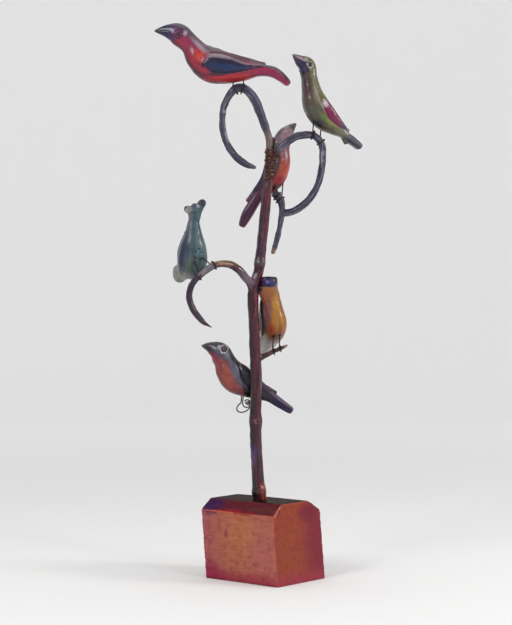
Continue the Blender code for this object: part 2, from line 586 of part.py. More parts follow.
def make_binding(finish):
    """The close turns of wire as one ribbed sleeve, open at both ends."""
    pitch = (BINDING_TOP - BINDING_FOOT) / BINDING_TURNS
    outer = []
    inner = []
    for k in range(2 * BINDING_TURNS + 1):
        up = BINDING_FOOT + k * pitch / 2
        wall = BINDING_WIRE if k % 2 else BINDING_WIRE * BINDING_GROOVE
        outer.append(binding_ring(up, BINDING_SLACK + wall))
        if k % 4 == 0 or k == 2 * BINDING_TURNS:
            inner.append(binding_ring(up, BINDING_SLACK))
    bm = bmesh.new()
    skins = [[[bm.verts.new(p) for p in ring] for ring in skin] for skin in (outer, inner)]
    count = BINDING_SIDES
    for skin in skins:
        for low, high in zip(skin, skin[1:]):
            for k in range(count):
                n = (k + 1) % count
                bm.faces.new((low[k], low[n], high[n], high[k]))
    for end in (0, -1):
        for k in range(count):
            n = (k + 1) % count
            bm.faces.new((skins[0][end][k], skins[0][end][n], skins[1][end][n], skins[1][end][k]))
    bmesh.ops.recalc_face_normals(bm, faces=bm.faces)
    mesh = bpy.data.meshes.new("binding")
    bm.to_mesh(mesh)
    bm.free()
    binding = shape("branch_binding", mesh)
    to_world(binding)
    return finished(binding, finish)


def make_bird(name, bird, finish, wire_finish):
    """One carved bird and its two wire legs."""
    body = shape(name, body_mesh(bird, name))
    parts = [shape("part", wing_mesh(bird, "wing", side)) for side in (-1, 1)]
    parts += [shape("part", eye_mesh(bird, "eye", side)) for side in (-1, 1)]
    if bird["lobe"]:
        parts.append(shape("part", lobe_mesh(bird, "lobe")))
    combine(body, parts, "UNION")
    body.data.transform(bird_matrix(bird))
    for leg, side in zip(bird["legs"], ("near", "far")):
        points, straight = leg_path(bird, leg)
        ahead = (straight - points[0]).normalized()
        bore = [points[0] - ahead * HOLE_EXTRA, straight]
        hole = shape("hole", wire_mesh("hole", bore, LEG_WIRE + 2 * HOLE_EXTRA))
        combine(body, [hole], "DIFFERENCE")
        wire = shape(name.replace("bird", "leg") + "_" + side, wire_mesh("leg", points, LEG_WIRE))
        to_world(wire)
        finished(wire, wire_finish)
    to_world(body)
    return finished(body, finish)


def main():
    """Build the whole tree."""
    clear_scene()
    make_block(material("block_paint", PAINT["block"], 0.45))
    make_trunk(material("trunk_paint", PAINT["trunk"], 0.4))
    make_loops(material("twig_paint", PAINT["twig"], 0.4))
    make_binding(material("binding_wire", PAINT["binding"], 0.45, 1.0))
    wire = material("leg_wire", PAINT["wire"], 0.5, 1.0)
    for name, bird in BIRDS.items():
        make_bird(name, bird, material(name + "_paint", bird["colour"], 0.35), wire)


main()
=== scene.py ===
# %% [markdown]
# A folk bird tree, dressed for its photograph.
#
# The carving is a branching twig that stands in a chamfered block and carries six small birds.
# Two more twigs, bent into loops, are bound to its tip with wire, and every bird stands on two
# wire legs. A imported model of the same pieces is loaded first. It is plain but exact, and each
# finer piece below is laid over one of its pieces, so nothing has to be fitted afterwards.

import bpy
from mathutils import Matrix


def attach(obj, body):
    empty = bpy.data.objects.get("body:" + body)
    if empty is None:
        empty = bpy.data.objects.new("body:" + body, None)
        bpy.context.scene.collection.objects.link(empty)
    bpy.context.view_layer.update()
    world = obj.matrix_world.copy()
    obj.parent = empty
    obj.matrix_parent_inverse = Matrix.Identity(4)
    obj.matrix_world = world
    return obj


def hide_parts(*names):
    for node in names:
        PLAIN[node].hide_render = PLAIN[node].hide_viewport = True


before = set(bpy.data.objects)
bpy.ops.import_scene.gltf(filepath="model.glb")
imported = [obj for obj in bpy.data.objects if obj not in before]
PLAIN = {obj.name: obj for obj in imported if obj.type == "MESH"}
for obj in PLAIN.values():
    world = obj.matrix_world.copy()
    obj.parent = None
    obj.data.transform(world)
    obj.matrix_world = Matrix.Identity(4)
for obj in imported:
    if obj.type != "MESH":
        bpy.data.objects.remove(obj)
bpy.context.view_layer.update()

# %% [markdown]
# Everything on the tree is drawn in millimetres in the tree's own frame: right, back and up for
# someone who stands before it. The block stands cornerwise under its tree, so that frame is
# turned by 40 degrees against the block. One matrix takes a finished mesh to metres and into
# the model's frame, which is easier than thinking in turned axes all the way.

# %% Units and the tree's frame
import math

import bmesh
import bpy
import numpy as np
from mathutils import Matrix, Vector, kdtree, noise

MM = 0.001
TREE_TURN = math.radians(40.0)
TURNED = Matrix.Rotation(TREE_TURN, 4, "Z")
TREE = TURNED @ Matrix.Scale(MM, 4)
print("the tree's right runs along", tuple(round(c, 3) for c in TURNED @ Vector((1, 0, 0))))

# %% [markdown]
# The camera stands where the photographer's did. Its place and tilt were worked out from the
# ten corners of the block that can be seen. Blender gives the sensor's width to the longer side
# of a picture, so the lens is the focal length in pixels scaled by the picture's height.

# %% Camera
CAMERA_PLACE = Vector((-9.9, -1890.0, 306.6))
CAMERA_DOWN = math.radians(0.82)
FOCAL_PIXELS = 1800.0
PHOTO_TALL = 625
SENSOR = 36.0

camera_data = bpy.data.cameras.new("camera")
camera_data.sensor_width = SENSOR
camera_data.lens = FOCAL_PIXELS * SENSOR / PHOTO_TALL
camera = bpy.data.objects.new("camera", camera_data)
bpy.context.scene.collection.objects.link(camera)
camera.matrix_world = (Matrix.Translation(TREE @ CAMERA_PLACE) @ TURNED
                       @ Matrix.Rotation(math.radians(90.0) - CAMERA_DOWN, 4, "X"))
bpy.context.scene.camera = camera
bpy.context.scene.view_settings.view_transform = "Standard"
print("lens:", round(camera_data.lens, 2), "mm")

# %% [markdown]
# A museum photographs small things on a sheet of paper that sweeps up behind them. The sweep
# here is a round bowl, flat in the middle and bent up to a wall, because a bowl looks the same
# from every side and the carving can then be studied from behind as well.

# %% Studio bowl
FLOOR_REACH = 2.5
BOWL_BEND = 1.5
WALL_TOP = 3.6
FLAT_RINGS = (0.25, 0.8)
BOWL_SIDES = 96
BEND_STEPS = 16

profile = [(reach, 0.0) for reach in (*FLAT_RINGS, FLOOR_REACH)]
for k in range(1, BEND_STEPS + 1):
    angle = 0.5 * math.pi * k / BEND_STEPS
    profile.append((FLOOR_REACH + BOWL_BEND * math.sin(angle), BOWL_BEND * (1 - math.cos(angle))))
profile.append((FLOOR_REACH + BOWL_BEND, WALL_TOP))
bowl_points = []
bowl_faces = [list(range(BOWL_SIDES))]
for reach, height in profile:
    for k in range(BOWL_SIDES):
        angle = 2 * math.pi * k / BOWL_SIDES
        bowl_points.append((reach * math.cos(angle), reach * math.sin(angle), height))
for ring in range(len(profile) - 1):
    for k in range(BOWL_SIDES):
        a = ring * BOWL_SIDES + k
        b = ring * BOWL_SIDES + (k + 1) % BOWL_SIDES
        bowl_faces.append((a, a + BOWL_SIDES, b + BOWL_SIDES, b))
bowl_mesh = bpy.data.meshes.new("studio_bowl")
bowl_mesh.from_pydata(bowl_points, [], bowl_faces)
bowl_mesh.shade_smooth()
studio_bowl = bpy.data.objects.new("studio_bowl", bowl_mesh)
bpy.context.scene.collection.objects.link(studio_bowl)
print("studio bowl:", len(bowl_faces), "faces")

# %% [markdown]
# The light is soft and comes mostly from the left and the front, where the paint is brightest.
# A smaller box on the right draws the faint shadow that falls to the left of the block, and a
# wide one overhead lights the paper. The boxes are hidden from the camera but not from the
# varnish, which mirrors them as the pale streaks on the branches and the birds.

# %% Studio light
SOFTBOXES = [
    ("key", (-1.35, -1.65, 1.45), (0.0, 0.0, 0.28), (0.8, 0.8), 23.0, (1.0, 0.985, 0.97)),
    ("side", (1.9, -0.55, 0.85), (0.0, 0.0, 0.2), (0.55, 0.55), 17.0, (1.0, 0.99, 0.98)),
    ("strip", (1.15, -1.25, 1.1), (0.0, 0.0, 0.35), (0.14, 1.1), 5.0, (1.0, 1.0, 1.0)),
    ("overhead", (0.0, 0.3, 2.7), (0.0, 0.0, 0.0), (2.2, 2.2), 15.0, (1.0, 0.99, 0.98)),
]
FILL_COLOUR = (1.0, 0.985, 0.975)
FILL = 0.42


def softbox(name, place, aim, sides, watts, colour):
    """A flat lamp at a place in the tree's frame, in metres, turned toward another place."""
    data = bpy.data.lights.new(name, "AREA")
    data.shape = "RECTANGLE"
    data.size, data.size_y = sides
    data.energy = watts
    data.color = colour
    lamp = bpy.data.objects.new(name, data)
    bpy.context.scene.collection.objects.link(lamp)
    way = TURNED @ (Vector(aim) - Vector(place))
    lamp.matrix_world = (Matrix.Translation(TURNED @ Vector(place))
                         @ way.to_track_quat("-Z", "Y").to_matrix().to_4x4())
    lamp.visible_camera = False
    return lamp


for box in SOFTBOXES:
    softbox(*box)
world = bpy.data.worlds.new("studio air")
world.use_nodes = True
world.node_tree.nodes["Background"].inputs["Color"].default_value = (*FILL_COLOUR, 1.0)
world.node_tree.nodes["Background"].inputs["Strength"].default_value = FILL
bpy.context.scene.world = world
print("softboxes:", len(SOFTBOXES))

# %% [markdown]
# Branches, birds and wires are all skins stretched over rings. A branch is noted down as a few
# rows of right, back, up and diameter, and the rows between them come from a smooth curve that
# passes through all of them. Few rows keep the drawing easy to change by hand.

# %% Smooth rows
def blend_rows(a, b, c, d, t):
    """The row at t between b and c, on a smooth curve that also knows the rows a and d."""
    row = []
    for p, q, r, s in zip(a, b, c, d):
        bend = (2 * p - 5 * q + 4 * r - s) * t * t + (3 * q - p - 3 * r + s) * t ** 3
        row.append(0.5 * (2 * q + (r - p) * t + bend))
    return row


def smooth(rows, step):
    """Rows about one step apart on a smooth curve through all the given rows."""
    out = []
    last = len(rows) - 1
    for i in range(last):
        a, b, c, d = rows[max(i - 1, 0)], rows[i], rows[i + 1], rows[min(i + 2, last)]
        parts = max(1, round(math.dist(b[:3], c[:3]) / step))
        out += [blend_rows(a, b, c, d, k / parts) for k in range(parts)]
    out.append(list(rows[-1]))
    return out


# %% Skins over rings
def skin(name, rings, start=None, end=None):
    """A closed mesh over rings of points, each end closed flat or drawn to one point."""
    count = len(rings[0])
    points = [tuple(p) for ring in rings for p in ring]
    faces = []
    for low in range(0, (len(rings) - 1) * count, count):
        for k in range(count):
            n = (k + 1) % count
            faces.append((low + k, low + n, low + count + n, low + count + k))
    for first, tip in ((0, start), ((len(rings) - 1) * count, end)):
        loop = [first + k for k in range(count)]
        if tip is None:
            faces.append(loop)
            continue
        points.append(tuple(tip))
        faces += [(loop[k], loop[(k + 1) % count], len(points) - 1) for k in range(count)]
    mesh = bpy.data.meshes.new(name)
    mesh.from_pydata(points, [], faces)
    bm = bmesh.new()
    bm.from_mesh(mesh)
    bmesh.ops.recalc_face_normals(bm, faces=bm.faces)
    bm.to_mesh(mesh)
    bm.free()
    return mesh


# %% [markdown]
# Wood that grew or was carved has no seam where a limb leaves the trunk or a wing leaves the
# body. Remeshing does this: all the overlapping skins go through the Remesh modifier, which
# wraps them in one even net of small squares, and a Smooth modifier takes off the steps. The
# even net is also what makes fine carving possible later, by moving its points.

# %% One skin over many
def fused(name, meshes, voxel, passes):
    """An object with one even skin over closed meshes that overlap."""
    bm = bmesh.new()
    for mesh in meshes:
        bm.from_mesh(mesh)
    bmesh.ops.remove_doubles(bm, verts=bm.verts, dist=0.0005)
    joined = bpy.data.meshes.new(name)
    bm.to_mesh(joined)
    bm.free()
    obj = bpy.data.objects.new(name, joined)
    bpy.context.scene.collection.objects.link(obj)
    wrap = obj.modifiers.new("wrap", "REMESH")
    wrap.mode = "VOXEL"
    wrap.voxel_size = voxel
    relax = obj.modifiers.new("relax", "SMOOTH")
    relax.factor = 0.5
    relax.iterations = passes
    graph = bpy.context.evaluated_depsgraph_get()
    obj.data = bpy.data.meshes.new_from_object(obj.evaluated_get(graph))
    obj.modifiers.clear()
    obj.data.name = name
    return obj


# %% [markdown]
# Carving here means moving points along their normals. Doing that for a whole mesh at once is quick with
# numpy: the points and normals come out as arrays, an amount in millimetres is worked out for every point,
# and the array goes back. Three small measures do most of the work: smooth noise, the mean of a point's
# neighbours, and from that how far a point stands out of its surroundings, which finds the edges that wear
# pale and the hollows that are painted darker.

# %% Moving points
def points_of(mesh, what="co"):
    """The places or, with "normal", the normals of a mesh's points as an array."""
    flat = np.empty(len(mesh.vertices) * 3, np.float32)
    mesh.vertices.foreach_get(what, flat)
    return flat.reshape(-1, 3).astype(float)


def push(mesh, amount):
    """Move every point along its normal by its own amount."""
    moved = points_of(mesh) + points_of(mesh, "normal") * amount[:, None]
    mesh.vertices.foreach_set("co", moved.astype(np.float32).ravel())
    mesh.update()


def lumps(points, size, seed):
    """Smooth noise between about -1 and 1 at every point, with lumps of a size."""
    shift = Vector((seed, -0.7 * seed, 1.9 * seed))
    return np.array([noise.noise(Vector(p) / size + shift) for p in points])


def neighbour_mean(mesh, values, passes):
    """Each point's value as the mean over its neighbours, taken several times."""
    ends = np.empty(len(mesh.edges) * 2, np.int32)
    mesh.edges.foreach_get("vertices", ends)
    a, b = ends[0::2], ends[1::2]
    count = len(mesh.vertices)
    touching = np.maximum(np.bincount(a, minlength=count) + np.bincount(b, minlength=count), 1)
    for _ in range(passes):
        values = np.stack([(np.bincount(a, column[b], count) + np.bincount(b, column[a], count))
                           / touching for column in values.T], axis=1)
    return values


def crest_of(mesh, passes):
    """How far each point stands out of its surroundings, below zero in a hollow."""
    points = points_of(mesh)
    away = points - neighbour_mean(mesh, points, passes)
    return (away * points_of(mesh, "normal")).sum(axis=1)


def bell(distance, width):
    """1 at no distance, falling smoothly to nothing over about twice the width."""
    return np.exp(-(distance / width) ** 2)


def keep(mesh, name, values):
    """Store numbers or vectors on the points, for the paint to read by name."""
    kind = "FLOAT" if values.ndim == 1 else "FLOAT_VECTOR"
    layer = mesh.attributes.new(name, kind, "POINT")
    layer.data.foreach_set("value" if values.ndim == 1 else "vector",
                           values.astype(np.float32).ravel())


# %% [markdown]
# The branches. The trunk with its left fork and two stubs is one natural branch. Its rows are
# repeated from the plain model's source, because only they say where the wood runs. The two
# loops are separate twigs with thinned butts that lie against the trunk's tip.

# %% The trunk's rows
TRUNK = [
    (-6.1, 5.0, 53.4, 13.8), (-6.1, 5.0, 70.0, 13.8), (-6.1, 5.0, 84.0, 14.0), (-6.8, 4.8, 92.0, 13.6),
    (-8.6, 4.0, 114.5, 12.6), (-10.3, 2.0, 162.0, 12.2), (-9.8, 0.0, 209.4, 12.0), (-11.0, -1.0, 240.9, 11.8),
    (-12.2, -2.0, 272.4, 11.4), (-13.0, -2.0, 296.5, 11.4), (-10.2, -1.0, 313.3, 10.8),
    (-6.8, 0.0, 324.9, 11.0), (-4.4, 1.0, 345.9, 10.8), (-2.3, 1.0, 366.9, 10.6),
    (-0.1, 1.0, 387.9, 10.2), (1.8, 1.0, 408.9, 9.6), (3.8, 1.0, 424.7, 8.6),
    (5.4, 1.0, 440.4, 7.4), (6.6, 1.0, 453.0, 6.6), (7.8, 1.0, 462.5, 5.0),
]
KNOTS = [(91.0, 0.9, 5.0), (166.0, 0.9, 5.0), (331.0, 0.8, 4.0)]   # height, swelling, half length
LEFT_FORK = [
    (-12.6, -2.0, 291.0, 8.6), (-13.6, -3.0, 303.0, 8.6), (-16.4, -5.0, 311.2, 8.4),
    (-20.3, -8.0, 315.8, 8.4), (-25.5, -13.0, 322.0, 8.2), (-30.7, -17.0, 326.6, 8.0),
    (-36.9, -22.0, 329.6, 7.8), (-45.1, -27.0, 330.4, 7.6), (-53.3, -30.0, 328.6, 7.2),
    (-60.5, -31.0, 324.4, 7.0), (-66.7, -31.0, 319.4, 6.8), (-72.6, -30.0, 314.0, 6.8),
    (-77.2, -28.0, 307.0, 6.8), (-79.2, -26.0, 298.7, 6.8), (-78.0, -25.0, 290.4, 6.6),
    (-74.4, -24.0, 282.1, 6.6), (-68.8, -24.0, 274.2, 6.4), (-63.0, -24.0, 268.8, 4.8),
    (-55.6, -25.0, 264.2, 1.2),
]
RIGHT_STUB = [
    (-8.8, 0.0, 230.4, 7.3), (-3.3, 1.0, 232.9, 6.6), (1.7, 2.0, 235.2, 5.8), (7.0, 3.0, 237.8, 5.2),
    (12.2, 4.0, 239.9, 4.8), (17.5, 5.0, 242.1, 4.2), (23.4, 6.0, 245.1, 2.4),
]
BACK_STUB = [(-10.5, 0.0, 184.0, 5.4), (-16.2, 8.0, 183.6, 5.0), (-18.9, 16.0, 183.2, 4.4),
             (-20.5, 27.0, 183.0, 4.0)]

# %% The loops' rows
TOP_LOOP = [
    (2.2, -6.2, 419.1, 2.6), (2.8, -6.6, 427.0, 4.6), (3.2, -6.8, 434.7, 5.2), (3.6, -7.0, 450.3, 6.0),
    (3.3, -8.0, 461.8, 8.2), (-3.1, -10.0, 480.6, 9.6), (-6.8, -12.0, 490.4, 10.0),
    (-10.0, -14.0, 498.6, 10.0), (-14.4, -15.5, 505.4, 10.0), (-20.4, -16.5, 510.8, 10.0),
    (-27.0, -17.0, 513.2, 9.8), (-33.4, -18.0, 510.0, 9.0), (-39.3, -19.0, 502.6, 8.0),
    (-44.0, -20.0, 490.2, 7.4), (-44.8, -20.0, 475.9, 7.3), (-42.8, -19.0, 462.3, 7.4),
    (-37.4, -18.0, 450.5, 7.6), (-31.6, -17.0, 442.7, 7.8), (-24.0, -16.0, 436.5, 7.8),
    (-17.6, -15.0, 432.9, 6.6), (-10.4, -14.0, 430.8, 3.0),
]
RIGHT_LOOP = [
    (8.2, -5.2, 427.4, 2.4), (9.0, -5.6, 440.0, 4.8), (11.4, -6.6, 447.4, 5.8),
    (16.0, -7.0, 452.2, 7.2), (23.0, -7.0, 457.8, 8.0), (32.6, -7.0, 463.6, 8.0),
    (45.3, -6.0, 465.6, 7.8), (52.8, -5.0, 463.6, 7.6), (57.8, -4.0, 458.0, 7.8),
    (60.0, -3.0, 450.6, 7.6), (59.9, -1.0, 440.3, 7.6), (58.8, 1.0, 429.3, 7.4),
    (56.4, 3.0, 418.0, 7.4), (51.4, 6.0, 406.5, 7.6), (44.4, 9.0, 397.0, 7.8),
    (36.0, 11.0, 389.8, 7.8), (28.3, 12.0, 386.0, 7.8), (18.6, 13.0, 384.2, 7.4),
]
TEE_TWIG = [
    (9.4, 14.0, 405.6, 7.6), (12.6, 14.0, 402.4, 9.0), (16.6, 13.5, 396.4, 8.2), (17.6, 13.0, 386.5, 6.4),
    (15.9, 13.0, 373.7, 6.2), (13.8, 12.0, 363.4, 6.0), (11.1, 11.0, 353.2, 5.8), (8.0, 10.0, 341.9, 4.6),
]

# %% [markdown]
# A branch's middle line carries a little compass along with it: at each step it knows which way
# is ahead, across and to the side, and how far it has run. The skin is drawn round that line,
# and the same compass later tells every point of the bark where it sits: round the branch and
# along it. Bark and scratches then follow the wood wherever it bends.

# %% Middle lines
BRANCH_SIDES = 28
BRANCH_STEP = 2.0
FLUTES = 5


def middle_line(rows, knots=()):
    """Place, ahead, across, side, radius and distance run at each row."""
    centres = [Vector(row[:3]) for row in rows]
    line = []
    across = Vector((0.3, 1.0, 0.2))
    run = 0.0
    for i, (centre, row) in enumerate(zip(centres, rows)):
        ahead = (centres[min(i + 1, len(rows) - 1)] - centres[max(i - 1, 0)]).normalized()
        across = (across - ahead * across.dot(ahead)).normalized()
        radius = row[3] / 2 + sum(k[1] * math.exp(-((centre.z - k[0]) / k[2]) ** 2) for k in knots)
        line.append((centre, ahead, across, ahead.cross(across), radius, run))
        run += (centres[min(i + 1, len(rows) - 1)] - centre).length
    return line


def spine(rows, knots=()):
    """Middle line of a branch."""
    return middle_line(smooth(rows, BRANCH_STEP), knots)


def tube(name, line, sides=BRANCH_SIDES, flutes=0.0, tips=(0.5, 0.5)):
    """A skin round a middle line, its ends rounded by shares of the radius."""
    rings = []
    for centre, ahead, across, side, radius, run in line:
        ring = []
        for k in range(sides):
            angle = 2 * math.pi * k / sides
            reach = radius * (1 - flutes * (0.5 - 0.5 * math.cos(angle * FLUTES)))
            ring.append(centre + across * reach * math.cos(angle) + side * reach * math.sin(angle))
        rings.append(ring)
    first = line[0][0] - line[0][1] * line[0][4] * tips[0]
    last = line[-1][0] + line[-1][1] * line[-1][4] * tips[1]
    return skin(name, rings, first, last)


# %% [markdown]
# A point of the bark belongs to the branch whose skin it is nearest to. Gaps are measured in
# that branch's own radius, so a thin stub doesn't lose its points to the thick trunk beside it.

# %% Where bark sits
NEAR_PLACES = 12     # how many near places of the middle lines a point chooses from


def grain_of(points, lines):
    """For each point: how far across, how far to the side and how far along its branch it sits."""
    spots = [spot for line in lines for spot in line]
    tree = kdtree.KDTree(len(spots))
    for i, spot in enumerate(spots):
        tree.insert(spot[0], i)
    tree.balance()
    out = np.empty((len(points), 3))
    for row, point in enumerate(points):
        point = Vector(point)
        near = tree.find_n(point, NEAR_PLACES)
        centre, index, gap = min(near, key=lambda hit: hit[2] / spots[hit[1]][4])
        centre, ahead, across, side, radius, run = spots[index]
        away = point - centre
        out[row] = (away.dot(across), away.dot(side), run + away.dot(ahead))
    return out


# %% [markdown]
# Bark is carved by two kinds of noise. One is stretched along the branch and gives the long
# ridges and shallow flutes of dried wood. The other is even and gives lumps and old bud scars.
# The cut ends stay crisp, because a knife made them.

# %% Bark carving
def carve_bark(obj, lines, ridge, lump, seed):
    """Give a branch its ridges and lumps, and store where the bark sits."""
    mesh = obj.data
    points = points_of(mesh)
    grain = grain_of(points, lines)
    long = grain * np.array((1.0, 1.0, 0.10))
    amount = ridge * lumps(long, 2.6, seed) + 0.5 * ridge * lumps(long, 1.1, seed + 7)
    amount += lump * lumps(points, 8.0, seed + 3) + 0.3 * lump * lumps(points, 2.4, seed + 5)
    push(mesh, amount)
    keep(mesh, "grain", grain)
    keep(mesh, "tree", points)
    keep(mesh, "crest", crest_of(mesh, 5))
    mesh.transform(TREE)
    mesh.shade_smooth()
    print(obj.name, len(mesh.polygons), "faces; branches run", [round(line[-1][5]) for line in lines], "mm")


TRUNK_VOXEL = 0.8
TWIG_VOXEL = 0.65
trunk_lines = [spine(TRUNK, KNOTS), spine(LEFT_FORK), spine(RIGHT_STUB), spine(BACK_STUB)]
trunk = fused("painted_trunk", [tube("limb", line, tips=(0.1, 0.4)) for line in trunk_lines],
              TRUNK_VOXEL, 3)
carve_bark(trunk, trunk_lines, ridge=0.46, lump=0.38, seed=11.0)

top_lines = [spine(TOP_LOOP)]
top_loop = fused("painted_top_loop", [tube("limb", top_lines[0], flutes=0.12)], TWIG_VOXEL, 2)
carve_bark(top_loop, top_lines, ridge=0.5, lump=0.7, seed=23.0)

right_lines = [spine(RIGHT_LOOP), spine(TEE_TWIG)]
right_loop = fused("painted_right_loop", [tube("limb", line) for line in right_lines], TWIG_VOXEL, 2)
carve_bark(right_loop, right_lines, ridge=0.38, lump=0.5, seed=37.0)

# %% [markdown]
# The block is a short length of planed timber, sawn a little out of square, with its two long
# top edges cut off. The plain model already has that shape and the hole for the trunk, so the
# finer block starts from it. It is wrapped in a fine net, its edges are rubbed round, and small
# chips and dents are pushed in. The underside is set flat again so that it still stands.

# %% Block
BLOCK_VOXEL = 1.0
DENT = Vector((-21.0, -39.7, 51.0))

plain_block = PLAIN["block"].data.copy()
plain_block.transform(Matrix.Scale(1 / MM, 4))
block = fused("painted_block", [plain_block], BLOCK_VOXEL, 3)
block_mesh = block.data
block_points = points_of(block_mesh)
facing = neighbour_mean(block_mesh, points_of(block_mesh, "normal"), 2)
edge = crest_of(block_mesh, 14)
rim = crest_of(block_mesh, 3)
chips = np.clip(lumps(block_points, 5.0, 3.0) + 0.5 * lumps(block_points, 1.8, 5.0) - 0.22, 0.0, 1.0)
rubbed = -0.9 * np.clip(edge - 0.12, 0.0, 0.9) * (0.5 + 2.2 * chips)
planed = 0.22 * lumps(block_points * np.array((0.25, 1.0, 1.0)), 9.0, 17.0)
planed += 0.10 * lumps(block_points * np.array((0.12, 1.0, 1.0)), 2.4, 19.0)
dent_gap = np.linalg.norm((block_points - np.array(DENT)) * np.array((1.0, 1.0, 0.45)), axis=1)
push(block_mesh, rubbed + planed - 0.7 * bell(dent_gap, 2.2))
worn = points_of(block_mesh)
worn[:, 2] = np.where((facing[:, 2] < -0.8) | (worn[:, 2] < 0.0), 0.0, worn[:, 2])
block_mesh.vertices.foreach_set("co", worn.astype(np.float32).ravel())
block_mesh.update()
keep(block_mesh, "block", block_points)
keep(block_mesh, "facing", facing)
keep(block_mesh, "crest", rim)
block_mesh.transform(Matrix.Scale(MM, 4))
block_mesh.shade_smooth()
print("block:", len(block_mesh.polygons), "faces, edges stand out by", round(float(edge.max()), 2), "mm")

# %% [markdown]
# The birds. Each was whittled from one piece of wood, so each is one skin: a body swept through
# cross-sections from bill to tail, two leaf-shaped wings that stand a little proud of the
# flanks, and two low domes for the eyes. A cross-section is forward, up, depth and width from
# the place between the bird's feet. A wing's row is forward, up and its depth, and the mantle is
# the ridge of the back over a wing. Two birds face the viewer, so what sits on their heads is
# drawn in the tree's frame instead, as knobs. A leg is where it leaves the belly, the place on
# the branch that it holds, which way it turns and how far round, or all its points if it hangs free.

# %% The birds' shapes
ROUND = 2.2
FLAT = 3.2

STRAIGHT = {"roll": 0.0, "cock": 0.0, "swing": 0.0}   # a bird that neither leans nor looks aside

